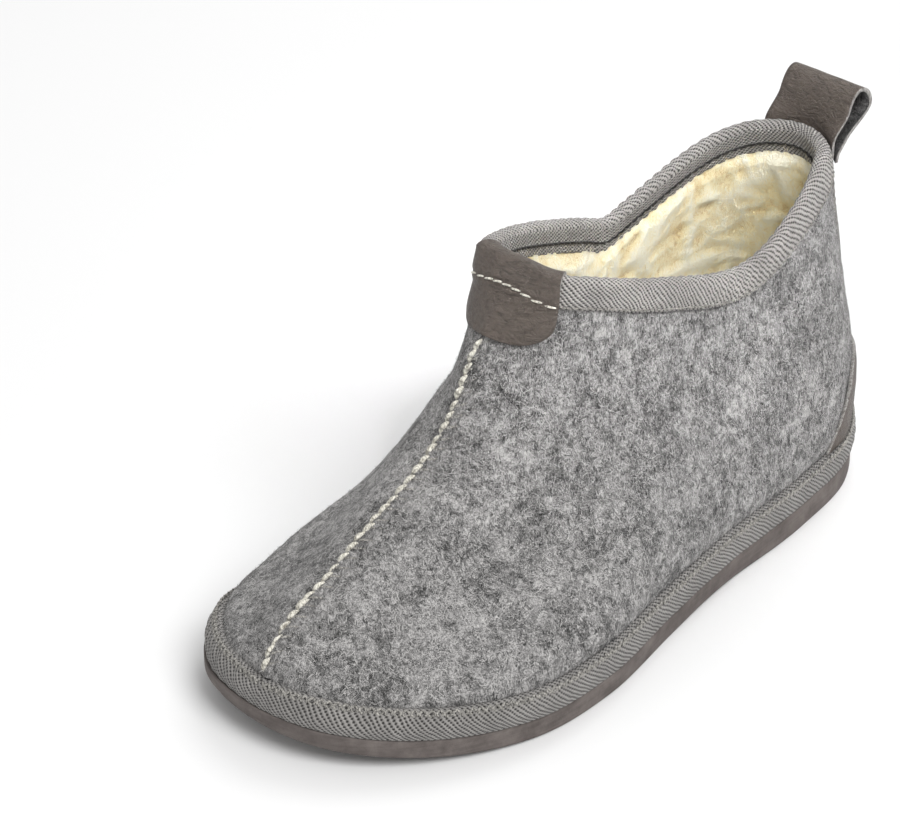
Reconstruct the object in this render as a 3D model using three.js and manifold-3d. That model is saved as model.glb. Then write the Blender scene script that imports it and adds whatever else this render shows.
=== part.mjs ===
// A left ankle-high felt slipper, standing empty on its sole.
// Millimetres, +Z up. The toe points to -Y and the little-toe side to +X.
import * as THREE from "three";
import Module from "manifold-3d";

const wasm = await Module();
wasm.setup();

// Sole
const soleLength = 261;
const ballWidth = 105;
const toeSpring = 7.3;
const springLength = 73;
const archRise = 1;
const archCentre = 20; // in front of this the forefoot stands, behind it the heel
const archLength = 70;
const outsoleAtToe = 6.4;
const outsoleAtHeel = 10.6;
const outsoleEdgeRound = 1.2;
const insoleThickness = 5;

// Upper: a felt wall from the sole's edge to the collar's rim
const feltWall = 2.6;
const heelInset = 11.5; // from the heel's end to the back of the rim
const rimLength = 137;
const rimWidth = 53;
const throatHeight = 116;
const dipHeight = 93.5;
const heelHeight = 110.5;
const seamWidth = 5;
const seamRise = 1.8;

// Woven tapes over the felt's two edges
const bandHeight = 8.7;
const bandThickness = 3.6;
const bandOverhang = 0.8;
const tapeThickness = 0.9;
const tapeOutside = 8;
const tapeInside = 7.5;

// Leather pieces
const leather = 1.4;
const tabWidth = 31;
const tabLength = 23.5;
const tabInside = 9;
const strapWidth = 27.5;
const strapThickness = 1.9;
const loopHeight = 15;
const counterHeight = 31;
const counterSpreadTop = 40; // along the wall, from the back seam to the side edge
const counterSpreadFoot = 66;
const tapeStep = 3; // way that the leather tab takes to come down off the collar tape

// Fit
const gap = 0.3;
const columns = 56;
const wallRings = 16;

// The sole's outline: a row for each station from toe to heel.
// along is a share of soleLength, and the two widths are shares of ballWidth.
const outlineRows = [
  { along: 0.022, lateral: 0.212, medial: 0.25 },
  { along: 0.095, lateral: 0.405, medial: 0.415 },
  { along: 0.218, lateral: 0.545, medial: 0.437 },
  { along: 0.34, lateral: 0.563, medial: 0.406 },
  { along: 0.48, lateral: 0.503, medial: 0.363 },
  { along: 0.622, lateral: 0.453, medial: 0.34 },
  { along: 0.768, lateral: 0.426, medial: 0.34 },
  { along: 0.89, lateral: 0.362, medial: 0.327 },
  { along: 0.969, lateral: 0.21, medial: 0.225 },
];

// The rim in plan: along is a share of rimLength, out a share of rimWidth.
const rimRows = [
  { along: 0.006, out: 0.3 },
  { along: 0.075, out: 0.4 },
  { along: 0.24, out: 0.475 },
  { along: 0.48, out: 0.5 },
  { along: 0.7, out: 0.475 },
  { along: 0.86, out: 0.395 },
  { along: 0.965, out: 0.225 },
];

// The rim from the side: its height from the dip (0) up to the throat or the heel (1). It stays
// low for longer on the little-toe side.
const dipAlong = 0.5;
const rimHeights = [
  { along: 0, lateral: 1, medial: 1 },
  { along: 0.07, lateral: 0.87, medial: 0.88 },
  { along: 0.18, lateral: 0.64, medial: 0.7 },
  { along: 0.31, lateral: 0.38, medial: 0.43 },
  { along: 0.42, lateral: 0.15, medial: 0.18 },
  { along: 0.5, lateral: 0.03, medial: 0 },
  { along: 0.58, lateral: 0, medial: 0.14 },
  { along: 0.67, lateral: 0.16, medial: 0.36 },
  { along: 0.76, lateral: 0.48, medial: 0.61 },
  { along: 0.85, lateral: 0.81, medial: 0.82 },
  { along: 0.92, lateral: 0.95, medial: 0.94 },
  { along: 1, lateral: 1, medial: 1 },
];

// How the wall rises, a row for each level. "In" is the share of the way in to the rim, and
// "Up" the share of the way up, at six places on each half of the outline.
const wallPlaces = [
  { name: "toe", at: 0 },
  { name: "corner", at: 0.12 },
  { name: "ball", at: 0.27 },
  { name: "waist", at: 0.5 },
  { name: "quarter", at: 0.75 },
  { name: "heel", at: 1 },
];
const wallRows = [
  {
    toeIn: 0, toeUp: 0, cornerIn: 0, cornerUp: 0, ballIn: 0, ballUp: 0,
    waistIn: 0, waistUp: 0, quarterIn: 0, quarterUp: 0, heelIn: 0, heelUp: 0,
  },
  {
    toeIn: 0, toeUp: 0.065, cornerIn: 0.01, cornerUp: 0.07, ballIn: -0.01, ballUp: 0.085,
    waistIn: -0.03, waistUp: 0.08, quarterIn: -0.05, quarterUp: 0.08, heelIn: -0.08, heelUp: 0.08,
  },
  {
    toeIn: 0.02, toeUp: 0.12, cornerIn: 0.12, cornerUp: 0.14, ballIn: 0.05, ballUp: 0.17,
    waistIn: -0.02, waistUp: 0.16, quarterIn: -0.06, quarterUp: 0.17, heelIn: -0.14, heelUp: 0.17,
  },
  {
    toeIn: 0.055, toeUp: 0.175, cornerIn: 0.27, cornerUp: 0.21, ballIn: 0.22, ballUp: 0.25,
    waistIn: 0.06, waistUp: 0.24, quarterIn: -0.01, quarterUp: 0.26, heelIn: -0.16, heelUp: 0.26,
  },
  {
    toeIn: 0.12, toeUp: 0.225, cornerIn: 0.45, cornerUp: 0.285, ballIn: 0.42, ballUp: 0.325,
    waistIn: 0.17, waistUp: 0.32, quarterIn: 0.06, quarterUp: 0.35, heelIn: -0.12, heelUp: 0.35,
  },
  {
    toeIn: 0.22, toeUp: 0.275, cornerIn: 0.58, cornerUp: 0.36, ballIn: 0.54, ballUp: 0.4,
    waistIn: 0.29, waistUp: 0.4, quarterIn: 0.15, quarterUp: 0.43, heelIn: -0.03, heelUp: 0.43,
  },
  {
    toeIn: 0.35, toeUp: 0.343, cornerIn: 0.69, cornerUp: 0.445, ballIn: 0.65, ballUp: 0.485,
    waistIn: 0.41, waistUp: 0.48, quarterIn: 0.26, quarterUp: 0.51, heelIn: 0.1, heelUp: 0.51,
  },
  {
    toeIn: 0.49, toeUp: 0.418, cornerIn: 0.8, cornerUp: 0.54, ballIn: 0.755, ballUp: 0.575,
    waistIn: 0.53, waistUp: 0.56, quarterIn: 0.38, quarterUp: 0.59, heelIn: 0.25, heelUp: 0.59,
  },
  {
    toeIn: 0.62, toeUp: 0.493, cornerIn: 0.9, cornerUp: 0.64, ballIn: 0.85, ballUp: 0.67,
    waistIn: 0.64, waistUp: 0.64, quarterIn: 0.51, quarterUp: 0.67, heelIn: 0.42, heelUp: 0.67,
  },
  {
    toeIn: 0.735, toeUp: 0.6, cornerIn: 0.955, cornerUp: 0.74, ballIn: 0.92, ballUp: 0.765,
    waistIn: 0.74, waistUp: 0.72, quarterIn: 0.64, quarterUp: 0.75, heelIn: 0.6, heelUp: 0.75,
  },
  {
    toeIn: 0.815, toeUp: 0.74, cornerIn: 0.98, cornerUp: 0.83, ballIn: 0.96, ballUp: 0.85,
    waistIn: 0.84, waistUp: 0.81, quarterIn: 0.77, quarterUp: 0.83, heelIn: 0.77, heelUp: 0.83,
  },
  {
    toeIn: 0.9, toeUp: 0.88, cornerIn: 0.995, cornerUp: 0.915, ballIn: 0.985, ballUp: 0.925,
    waistIn: 0.93, waistUp: 0.905, quarterIn: 0.89, quarterUp: 0.915, heelIn: 0.9, heelUp: 0.915,
  },
  {
    toeIn: 1, toeUp: 1, cornerIn: 1, cornerUp: 1, ballIn: 1, ballUp: 1,
    waistIn: 1, waistUp: 1, quarterIn: 1, quarterUp: 1, heelIn: 1, heelUp: 1,
  },
];

// The sole band's section: up is a share of bandHeight, thick of bandThickness.
const bandRows = [
  { up: 0, thick: 0.93 },
  { up: 0.28, thick: 1 },
  { up: 0.55, thick: 0.93 },
  { up: 0.8, thick: 0.66 },
  { up: 1, thick: 0.3 },
];

// The pull loop's middle line: back is measured behind the collar and up above the seam that
// holds it, both as shares of its whole height.
const loopRows = [
  { back: 0, up: -0.12 },
  { back: 0, up: 0.1 },
  { back: 0, up: 0.32 },
  { back: 0.01, up: 0.5 },
  { back: 0.06, up: 0.7 },
  { back: 0.15, up: 0.88 },
  { back: 0.24, up: 0.97 },
  { back: 0.34, up: 1 },
  { back: 0.45, up: 0.96 },
  { back: 0.55, up: 0.86 },
  { back: 0.6, up: 0.72 },
  { back: 0.58, up: 0.58 },
  { back: 0.5, up: 0.45 },
  { back: 0.39, up: 0.33 },
  { back: 0.26, up: 0.2 },
  { back: 0.15, up: 0.08 },
  { back: 0.11, up: -0.05 },
  { back: 0.1, up: -0.17 },
  { back: 0.03, up: -0.19 },
];

const toeEnd = -soleLength / 2;
const heelEnd = soleLength / 2;
const rimBack = heelEnd - heelInset;
const rimFront = rimBack - rimLength;

// A smooth curve through a table's points, read at one place.
function smooth(places, values, at) {
  const last = places.length - 1;
  const wanted = THREE.MathUtils.clamp(at, places[0], places[last]);
  let index = 0;
  while (index < last - 1 && places[index + 1] < wanted) index++;
  const slopeAt = (middle) => {
    const before = Math.max(middle - 1, 0);
    const after = Math.min(middle + 1, last);
    return (values[after] - values[before]) / (places[after] - places[before]);
  };
  const width = places[index + 1] - places[index];
  const t = (wanted - places[index]) / width;
  return (
    values[index] * (1 + 2 * t) * (1 - t) ** 2 +
    slopeAt(index) * width * t * (1 - t) ** 2 +
    values[index + 1] * t * t * (3 - 2 * t) +
    slopeAt(index + 1) * width * t * t * (t - 1)
  );
}

// One closed loop in plan, as a function of the share of each half's length: 0 is the toe,
// a half the heel, and the way goes round by the little-toe side.
function planLoop(points) {
  const curve = new THREE.CatmullRomCurve3(points, true, "centripetal");
  const steps = 200;
  const halves = [0, 1].map((half) => {
    const samples = [];
    for (let step = 0; step <= steps; step++) samples.push(curve.getPoint(half / 2 + step / steps / 2));
    const lengths = [0];
    for (let step = 1; step <= steps; step++)
      lengths.push(lengths[step - 1] + samples[step].distanceTo(samples[step - 1]));
    return { samples, lengths };
  });
  return (around) => {
    const turn = around - Math.floor(around);
    const half = turn < 0.5 ? 0 : 1;
    const { samples, lengths } = halves[half];
    const wanted = (turn * 2 - half) * lengths[steps];
    let low = 0;
    let high = steps;
    while (high - low > 1) {
      const middle = (low + high) >> 1;
      if (lengths[middle] <= wanted) low = middle;
      else high = middle;
    }
    const t = (wanted - lengths[low]) / (lengths[high] - lengths[low]);
    return samples[low].clone().lerp(samples[high], t);
  };
}

// The sole's edge in plan.
const soleEdge = planLoop([
  new THREE.Vector3(0, toeEnd, 0),
  ...outlineRows.map((row) => new THREE.Vector3(row.lateral * ballWidth, toeEnd + row.along * soleLength, 0)),
  new THREE.Vector3(0, heelEnd, 0),
  ...outlineRows
    .toReversed()
    .map((row) => new THREE.Vector3(-row.medial * ballWidth, toeEnd + row.along * soleLength, 0)),
]);

// The rim in plan.
const rimEdge = planLoop([
  new THREE.Vector3(0, rimFront, 0),
  ...rimRows.map((row) => new THREE.Vector3(row.out * rimWidth, rimFront + row.along * rimLength, 0)),
  new THREE.Vector3(0, rimBack, 0),
  ...rimRows
    .toReversed()
    .map((row) => new THREE.Vector3(-row.out * rimWidth, rimFront + row.along * rimLength, 0)),
]);

// The direction out of the sole's edge, level with the floor.
function outOfSole(around) {
  const along = soleEdge(around + 0.004).sub(soleEdge(around - 0.004));
  return new THREE.Vector3(along.y, -along.x, 0).normalize();
}

// The sole's edge moved out by a distance.
function soleEdgeOut(around, distance) {
  return soleEdge(around).addScaledVector(outOfSole(around), distance);
}

// Underside of the outsole: flat under the heel and the forefoot, up at the toe and arch.
function groundHeight(y) {
  const spring = THREE.MathUtils.clamp((toeEnd + springLength - y) / springLength, 0, 1);
  const fromArch = THREE.MathUtils.clamp(Math.abs(y - archCentre) / (archLength / 2), 0, 1);
  return toeSpring * spring ** 2 + (archRise * (1 + Math.cos(Math.PI * fromArch))) / 2;
}

// Top of the outsole: a wedge on the toe's spring, level over the arch.
function outsoleTop(y) {
  const share = THREE.MathUtils.clamp((y - toeEnd) / soleLength, 0, 1);
  const spring = THREE.MathUtils.clamp((toeEnd + springLength - y) / springLength, 0, 1);
  return toeSpring * spring ** 2 + outsoleAtToe + (outsoleAtHeel - outsoleAtToe) * share;
}

// Height of the rim on the little-toe side (lateral) or the other (medial).
function rimHeight(y, side) {
  const along = (y - rimFront) / rimLength;
  const end = along < dipAlong ? throatHeight : heelHeight;
  const rise = smooth(rimPlaces, rimHeights.map((row) => row[side]), along);
  return dipHeight + (end - dipHeight) * rise;
}

const wallInset = bandThickness + gap - bandOverhang;
const rimPlaces = rimHeights.map((row) => row.along);
const wallLevels = wallRows.map((row, index) => index / (wallRows.length - 1));
// The places run on past the toe and the heel, so that the wall is smooth over the middle.
const wallRun = [wallPlaces[1], ...wallPlaces, wallPlaces.at(-2)];
const wallTurns = [-wallPlaces[1].at, ...wallPlaces.map((place) => place.at), 2 - wallPlaces.at(-2).at];
const wallIns = wallRun.map((place) => wallRows.map((row) => row[place.name + "In"]));
const wallUps = wallRun.map((place) => wallRows.map((row) => row[place.name + "Up"]));

// The felt's outer face: around is 0 at the toe and a half at the heel, level 0 at the sole
// and 1 at the rim.
function wallPoint(around, level) {
  const turn = around - Math.floor(around);
  const fromToe = turn < 0.5 ? turn * 2 : 2 - turn * 2;
  const inShares = wallIns.map((shares) => smooth(wallLevels, shares, level));
  const upShares = wallUps.map((shares) => smooth(wallLevels, shares, level));
  const foot = soleEdgeOut(turn, -wallInset);
  foot.z = outsoleTop(foot.y) + gap;
  const top = rimEdge(turn);
  top.z = rimHeight(top.y, turn < 0.5 ? "lateral" : "medial");
  const goIn = smooth(wallTurns, inShares, fromToe);
  const goUp = smooth(wallTurns, upShares, fromToe);
  return new THREE.Vector3(
    foot.x + (top.x - foot.x) * goIn,
    foot.y + (top.y - foot.y) * goIn,
    foot.z + (top.z - foot.z) * goUp,
  );
}

// The way up out of the rim.
function upFromRim(around) {
  return wallPoint(around, 1).sub(wallPoint(around, 0.97)).normalize();
}

// The wall's outward direction.
function wallNormal(around, level) {
  const below = wallPoint(around, Math.max(level - 0.01, 0));
  const above = wallPoint(around, Math.min(level + 0.01, 1));
  const before = wallPoint(around - 0.004, level);
  const after = wallPoint(around + 0.004, level);
  return after.sub(before).cross(above.sub(below)).normalize();
}

// A point off the wall's outer face, by a distance along its normal.
function offWall(around, level, distance) {
  return wallPoint(around, level).addScaledVector(wallNormal(around, level), distance);
}

// The level that lies a given way along the wall from its foot or down from its rim.
function levelAlong(around, way, fromRim) {
  const steps = 80;
  let gone = 0;
  let last = wallPoint(around, fromRim ? 1 : 0);
  for (let step = 1; step <= steps; step++) {
    const level = fromRim ? 1 - step / steps : step / steps;
    const next = wallPoint(around, level);
    const length = next.distanceTo(last);
    if (gone + length >= way) {
      const share = (step - 1 + (way - gone) / length) / steps;
      return fromRim ? 1 - share : share;
    }
    gone += length;
    last = next;
  }
  return fromRim ? 0 : 1;
}

// The place around, near the toe (0) or the heel (a half), where the wall has a given x.
function aroundAtX(x, level, middle) {
  const towardsPositiveX = middle === 0 ? 1 : -1;
  let near = 0;
  let far = 0.2;
  const side = Math.sign(x) * towardsPositiveX;
  for (let step = 0; step < 22; step++) {
    const trial = (near + far) / 2;
    if (Math.abs(wallPoint(middle + side * trial, level).x) < Math.abs(x)) near = trial;
    else far = trial;
  }
  return middle + (side * (near + far)) / 2;
}

function geometryFrom(points, faces) {
  const geometry = new THREE.BufferGeometry();
  const numbers = points.flatMap((point) => [point.x, point.y, point.z]);
  geometry.setAttribute("position", new THREE.Float32BufferAttribute(numbers, 3));
  geometry.setIndex(faces.flat());
  return geometry;
}

// Two triangles for each square between neighbouring sections.
function joinSections(sections, closed) {
  const size = sections[0].length;
  const faces = [];
  const last = closed ? sections.length : sections.length - 1;
  for (let i = 0; i < last; i++) {
    const next = (i + 1) % sections.length;
    for (let k = 0; k < size; k++) {
      const above = (k + 1) % size;
      faces.push([i * size + k, next * size + k, next * size + above]);
      faces.push([i * size + k, next * size + above, i * size + above]);
    }
  }
  return faces;
}

// A closed section carried round a closed way, as in a tyre.
function hoop(sections) {
  return geometryFrom(sections.flat(), joinSections(sections, true));
}

// Closed loops stacked in a row, with both ends closed by rungs across the loop.
function stack(loops) {
  const size = loops[0].length;
  const faces = joinSections(loops, false).map(([a, b, c]) => [a, c, b]);
  const top = (loops.length - 1) * size;
  for (let k = 0; k < size / 2 - 1; k++) {
    const mate = size - 1 - k;
    faces.push([k, mate, mate - 1], [k, mate - 1, k + 1]);
    faces.push([top + k, top + mate - 1, top + mate], [top + k, top + k + 1, top + mate - 1]);
  }
  return geometryFrom(loops.flat(), faces);
}

// A sheet on the wall: outer points with the way round rising, then the inner ones back.
function sheetLoop(arounds, levelAt, inner, outer) {
  const outside = arounds.map((around) => offWall(around, levelAt(around), outer));
  const inside = arounds.map((around) => offWall(around, levelAt(around), inner));
  return [...outside, ...inside.toReversed()];
}

function solidFrom(geometry) {
  return new wasm.Manifold(
    new wasm.Mesh({
      numProp: 3,
      vertProperties: geometry.attributes.position.array,
      triVerts: new Uint32Array(geometry.index.array),
    }),
  );
}

function geometryOf(solid) {
  const mesh = solid.getMesh();
  const geometry = new THREE.BufferGeometry();
  geometry.setAttribute("position", new THREE.BufferAttribute(mesh.vertProperties, 3));
  geometry.setIndex(new THREE.BufferAttribute(mesh.triVerts, 1));
  return geometry;
}

function spread(from, to, count) {
  return Array.from({ length: count }, (_, index) => from + ((to - from) * index) / (count - 1));
}

const turns = Array.from({ length: columns }, (_, index) => index / columns);
const betweenTurns = turns.map((turn) => turn + 0.5 / columns);

// Outsole: one wedge of foam rubber with a rounded lower edge.
function makeOutsole() {
  const level = (inset, heightAt) =>
    betweenTurns.map((turn) => {
      const point = soleEdgeOut(turn, -inset);
      point.z = heightAt(point.y);
      return point;
    });
  return stack([
    level(outsoleEdgeRound * 2, groundHeight),
    level(outsoleEdgeRound * 0.4, (y) => groundHeight(y) + outsoleEdgeRound * 0.6),
    level(0, (y) => groundHeight(y) + outsoleEdgeRound * 1.8),
    level(0, outsoleTop),
  ]);
}

// Insole: the footbed inside the felt.
function makeInsole() {
  const inset = wallInset + feltWall + gap * 2;
  const level = (extra, rise) =>
    betweenTurns.map((turn) => {
      const point = soleEdgeOut(turn, -inset - extra);
      point.z = outsoleTop(point.y) + gap + rise;
      return point;
    });
  return stack([level(0, 0), level(0, insoleThickness * 0.7), level(insoleThickness * 0.4, insoleThickness)]);
}

// The felt wall between two distances off its outer face, made longer at both edges.
function wallForm(outer, inner, longer) {
  const levels = spread(0, 1, wallRings);
  return hoop(
    turns.map((turn) => {
      const outside = levels.map((level) => offWall(turn, level, outer));
      const inside = levels.map((level) => offWall(turn, level, inner));
      outside.at(-1).addScaledVector(upFromRim(turn), longer);
      inside.at(-1).addScaledVector(upFromRim(turn), longer);
      const out = outOfSole(turn);
      outside[0].copy(wallPoint(turn, 0)).addScaledVector(out, outer);
      inside[0].copy(wallPoint(turn, 0)).addScaledVector(out, inner);
      for (const foot of [outside[0], inside[0]]) foot.z = outsoleTop(foot.y) + gap - longer;
      return [...outside, ...inside.toReversed()];
    }),
  );
}

const wallClearance = solidFrom(wallForm(gap, -feltWall - gap, gap));

// Upper: the felt wall, open at the rim and underneath, with its raised seam down the middle.
function makeUpper() {
  const lower = levelAlong(0, bandHeight + gap * 2, false);
  const upper = levelAlong(0, tabLength + gap * 2, true);
  const half = seamWidth / 2;
  const acrossSeam = [-half, -half * 0.62, 0, half * 0.62, half];
  const riseAcross = [-feltWall / 3, seamRise * 0.7, seamRise, seamRise * 0.7, -feltWall / 3];
  const seam = spread(lower, upper, 30).map((level) => {
    const arounds = acrossSeam.map((x) => (x === 0 ? 0 : aroundAtX(x, level, 0)));
    const outside = arounds.map((around, index) => offWall(around, level, riseAcross[index]));
    const inside = arounds.map((around) => offWall(around, level, -feltWall / 2));
    return [...outside, ...inside.toReversed()];
  });
  return solidFrom(wallForm(0, -feltWall, 0)).add(solidFrom(stack(seam)));
}

// Band over the felt's lower edge, full at the foot and thin at its stitched top.
function makeSoleBand() {
  const band = hoop(
    turns.map((turn) => {
      const levels = bandRows.map((row) => levelAlong(turn, row.up * bandHeight, false));
      const outside = bandRows.map((row, index) =>
        offWall(turn, levels[index], gap + row.thick * bandThickness),
      );
      const inside = levels.map((level) => offWall(turn, level, 0));
      for (const foot of [outside[0], inside[0]]) foot.z = outsoleTop(foot.y) + gap;
      return [...outside, ...inside.toReversed()];
    }),
  );
  return solidFrom(band).subtract(wallClearance);
}

// The tape folded over the rim, made larger all round by a margin.
function tapeForm(margin) {
  const outer = gap + tapeThickness + margin;
  const downs = [1, 0.5, 0];
  return solidFrom(
    hoop(
      turns.map((turn) => {
        const outside = downs.map((down) => levelAlong(turn, down * (tapeOutside + margin), true));
        const inside = downs.map((down) => levelAlong(turn, down * (tapeInside + margin), true));
        const top = (off) => offWall(turn, 1, off).addScaledVector(upFromRim(turn), outer);
        return [
          ...outside.map((level) => offWall(turn, level, outer)),
          top(-feltWall * 0.1),
          top(-feltWall * 0.9),
          ...inside.toReversed().map((level) => offWall(turn, level, -feltWall - outer)),
          offWall(turn, inside[0], -feltWall / 2),
          offWall(turn, outside[0], -feltWall / 2),
        ];
      }),
    ),
  );
}

const tapeClearance = tapeForm(gap);

// Collar tape: folded over the rim, outside and in.
function makeCollarTape() {
  return tapeForm(0).subtract(wallClearance);
}

// Throat tab: leather folded over the front of the collar, with a round lower flap.
function makeThroatTab() {
  const overTape = tapeThickness + gap * 2 + leather;
  const rounding = tabLength * 0.5;
  const across = spread(-0.5, 0.5, 9);
  const arounds = (width, level) =>
    across.map((share) => (Math.abs(share) < 0.01 ? 0 : aroundAtX(share * width, level, 0)));
  const loops = spread(1, 0, 11).map((down) => {
    const way = down * tabLength;
    const past = Math.max(0, (way - tabLength + rounding) / rounding);
    const width = tabWidth * Math.sqrt(1 - 0.78 * past ** 2.4);
    const step = THREE.MathUtils.smoothstep(way, tapeOutside + gap, tapeOutside + gap + tapeStep);
    const off = THREE.MathUtils.lerp(overTape, gap + leather, step);
    const level = levelAlong(0, way, true);
    return sheetLoop(arounds(width, level), () => level, -feltWall * 0.3, off);
  });
  const places = arounds(tabWidth, 1);
  for (const [outerShare, innerShare] of [
    [0.1, 0.3],
    [0.9, 0.7],
  ]) {
    const outside = places.map((around) => offWall(around, 1, -feltWall * outerShare));
    const inside = places.map((around) => offWall(around, 1, -feltWall * innerShare));
    for (const point of outside) point.addScaledVector(upFromRim(0), overTape);
    loops.push([...outside, ...inside.toReversed()]);
  }
  for (const down of [0.05, 0.5, 1]) {
    const level = levelAlong(0, down * tabInside, true);
    loops.push(sheetLoop(arounds(tabWidth, level), () => level, -feltWall * 0.7, -feltWall - overTape));
  }
  return solidFrom(stack(loops)).subtract(wallClearance).subtract(tapeClearance);
}

// Where the strap's width falls on the wall at the heel.
function strapAround(share, level) {
  return share === 0 ? 0.5 : aroundAtX(share * strapWidth, level, 0.5);
}

// Pull loop: a strap that stands up behind the collar, with its tail down the back seam.
function makePullLoop() {
  const across = spread(0.5, -0.5, 7);
  const joinDown = tapeOutside - strapThickness;
  const joinLevel = levelAlong(0.5, joinDown, true);
  const join = wallPoint(0.5, joinLevel);
  const tall = loopHeight + joinDown;
  const centre = loopRows.map((row) => ({
    y: join.y + tapeThickness + gap * 2 + strapThickness / 2 + row.back * tall,
    z: join.z + row.up * tall,
  }));
  const bows = across.map((share) => wallPoint(strapAround(share, joinLevel), joinLevel).y - join.y);
  const ring = centre.map((place, index) => {
    const before = centre[(index + centre.length - 1) % centre.length];
    const after = centre[(index + 1) % centre.length];
    const along = new THREE.Vector2(after.y - before.y, after.z - before.z).normalize();
    const straight = THREE.MathUtils.smoothstep(place.z, join.z + joinDown, join.z + tall * 0.7);
    const face = (column, side) =>
      new THREE.Vector3(
        across[column] * strapWidth,
        place.y + bows[column] * (1 - straight) - (along.y * side * strapThickness) / 2,
        place.z + (along.x * side * strapThickness) / 2,
      );
    const order = across.map((_, column) => column);
    return [
      ...order.map((column) => face(column, 1)),
      ...order.toReversed().map((column) => face(column, -1)),
    ];
  });
  const tailFoot = levelAlong(0.5, counterHeight + gap * 2, false);
  const tailTop = levelAlong(0.5, tapeOutside + gap, true);
  const tail = spread(tailFoot, tailTop, 8).map((level) =>
    sheetLoop(
      across.map((share) => strapAround(share, level)),
      () => level,
      0,
      gap + strapThickness,
    ),
  );
  return solidFrom(hoop(ring)).add(solidFrom(stack(tail))).subtract(wallClearance).subtract(tapeClearance);
}

// Heel counter: leather round the heel above the band, its side edges sloping forward.
function makeHeelCounter() {
  const foot = bandHeight + gap;
  const shares = spread(-1, 1, 15);
  const length = 2 * halfSoleLength();
  const counter = stack(
    spread(0, 1, 6).map((share) => {
      const way = THREE.MathUtils.lerp(foot, counterHeight, share);
      const half = THREE.MathUtils.lerp(counterSpreadFoot, counterSpreadTop, share) / length;
      return sheetLoop(
        shares.map((place) => 0.5 + place * half),
        (around) => levelAlong(around, way, false),
        0,
        gap + leather,
      );
    }),
  );
  return solidFrom(counter).subtract(wallClearance);
}

// Length of the sole's edge from the heel to the toe on the little-toe side.
function halfSoleLength() {
  const places = spread(0, 0.5, 60).map((around) => soleEdge(around));
  return places.slice(1).reduce((sum, place, index) => sum + place.distanceTo(places[index]), 0);
}

const shoe = new THREE.Group();

function addPiece(name, shape, color, roughness) {
  const geometry = shape.isBufferGeometry ? shape : geometryOf(shape);
  const mesh = new THREE.Mesh(geometry, new THREE.MeshStandardMaterial({ color, roughness, metalness: 0 }));
  mesh.name = name;
  shoe.add(mesh);
}

addPiece("outsole", makeOutsole(), 0x746a64, 0.8);
addPiece("insole", makeInsole(), 0xe2d6ba, 1);
addPiece("upper", makeUpper(), 0x8c8c8f, 1);
addPiece("sole_band", makeSoleBand(), 0xa5a29d, 0.9);
addPiece("collar_tape", makeCollarTape(), 0xa5a29d, 0.9);
addPiece("throat_tab", makeThroatTab(), 0x625850, 0.6);
addPiece("pull_loop", makePullLoop(), 0x625850, 0.6);
addPiece("heel_counter", makeHeelCounter(), 0x6f665c, 0.6);

const bounds = new THREE.Box3().setFromObject(shoe);
shoe.position.set(-(bounds.min.x + bounds.max.x) / 2, -(bounds.min.y + bounds.max.y) / 2, -bounds.min.z);

export default shoe;
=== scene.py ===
import math

import bpy
import numpy as np
from mathutils import Matrix, Vector


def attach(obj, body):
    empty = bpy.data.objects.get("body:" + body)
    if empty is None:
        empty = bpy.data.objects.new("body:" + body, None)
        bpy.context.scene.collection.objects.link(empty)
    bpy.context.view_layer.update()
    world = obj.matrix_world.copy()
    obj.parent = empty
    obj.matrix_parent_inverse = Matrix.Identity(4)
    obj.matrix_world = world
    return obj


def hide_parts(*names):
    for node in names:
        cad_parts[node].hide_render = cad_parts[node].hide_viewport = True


# A left felt slipper with wool pile inside, woven bindings and leather trim.
# Shapes are worked out in millimetres, toe to -Y, and moved into the row's frame at the end.

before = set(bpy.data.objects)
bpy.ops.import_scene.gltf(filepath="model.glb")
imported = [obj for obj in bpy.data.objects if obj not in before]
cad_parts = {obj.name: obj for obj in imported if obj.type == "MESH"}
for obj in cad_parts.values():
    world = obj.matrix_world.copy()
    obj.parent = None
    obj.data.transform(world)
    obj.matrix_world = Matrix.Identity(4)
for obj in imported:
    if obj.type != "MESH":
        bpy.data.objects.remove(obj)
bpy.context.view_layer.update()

MM = 0.001
TO_FRAME = np.array([-6.7042, -2.1266, 0.0])

SOLE_LENGTH = 261.0
BALL_WIDTH = 105.0
TOE_SPRING = 7.3
SPRING_LENGTH = 73.0
ARCH_RISE = 1.0
ARCH_CENTRE = 20.0
ARCH_LENGTH = 70.0
OUTSOLE_TOE = 6.4
OUTSOLE_HEEL = 10.6
INSOLE = 5.0
FELT = 2.6
HEEL_INSET = 11.5
RIM_LENGTH = 137.0
RIM_WIDTH = 53.0
THROAT_HEIGHT = 116.0
DIP_HEIGHT = 93.5
HEEL_HEIGHT = 110.5
DIP_ALONG = 0.5
BAND_HEIGHT = 8.7
BAND_THICK = 3.6
BAND_OVERHANG = 0.8
TAPE_THICK = 0.9
TAPE_OUTSIDE = 8.0
TAPE_INSIDE = 8.2
LEATHER = 1.4
TAB_WIDTH = 31.0
TAB_LENGTH = 23.5
TAB_INSIDE = 9.0
STITCH_DOWN = TAPE_OUTSIDE - 0.5
STRAP_WIDTH = 27.5
STRAP_THICK = 1.9
LOOP_LEATHER = 1.3
LOOP_HEIGHT = 15.0
RIB_PITCH = 1.85
THREAD_PITCH = 0.95
RIDGE_WAVE = 4.1
SEAM_PITCH = 3.9
INNER_STITCH = 4.6
COUNTER_HEIGHT = 31.0
COUNTER_TOP = 40.0
COUNTER_FOOT = 66.0
PILE = 4.2
GAP = 0.3

TOE_END = -SOLE_LENGTH / 2
HEEL_END = SOLE_LENGTH / 2
RIM_BACK = HEEL_END - HEEL_INSET
RIM_FRONT = RIM_BACK - RIM_LENGTH
WALL_INSET = BAND_THICK + GAP - BAND_OVERHANG

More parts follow.
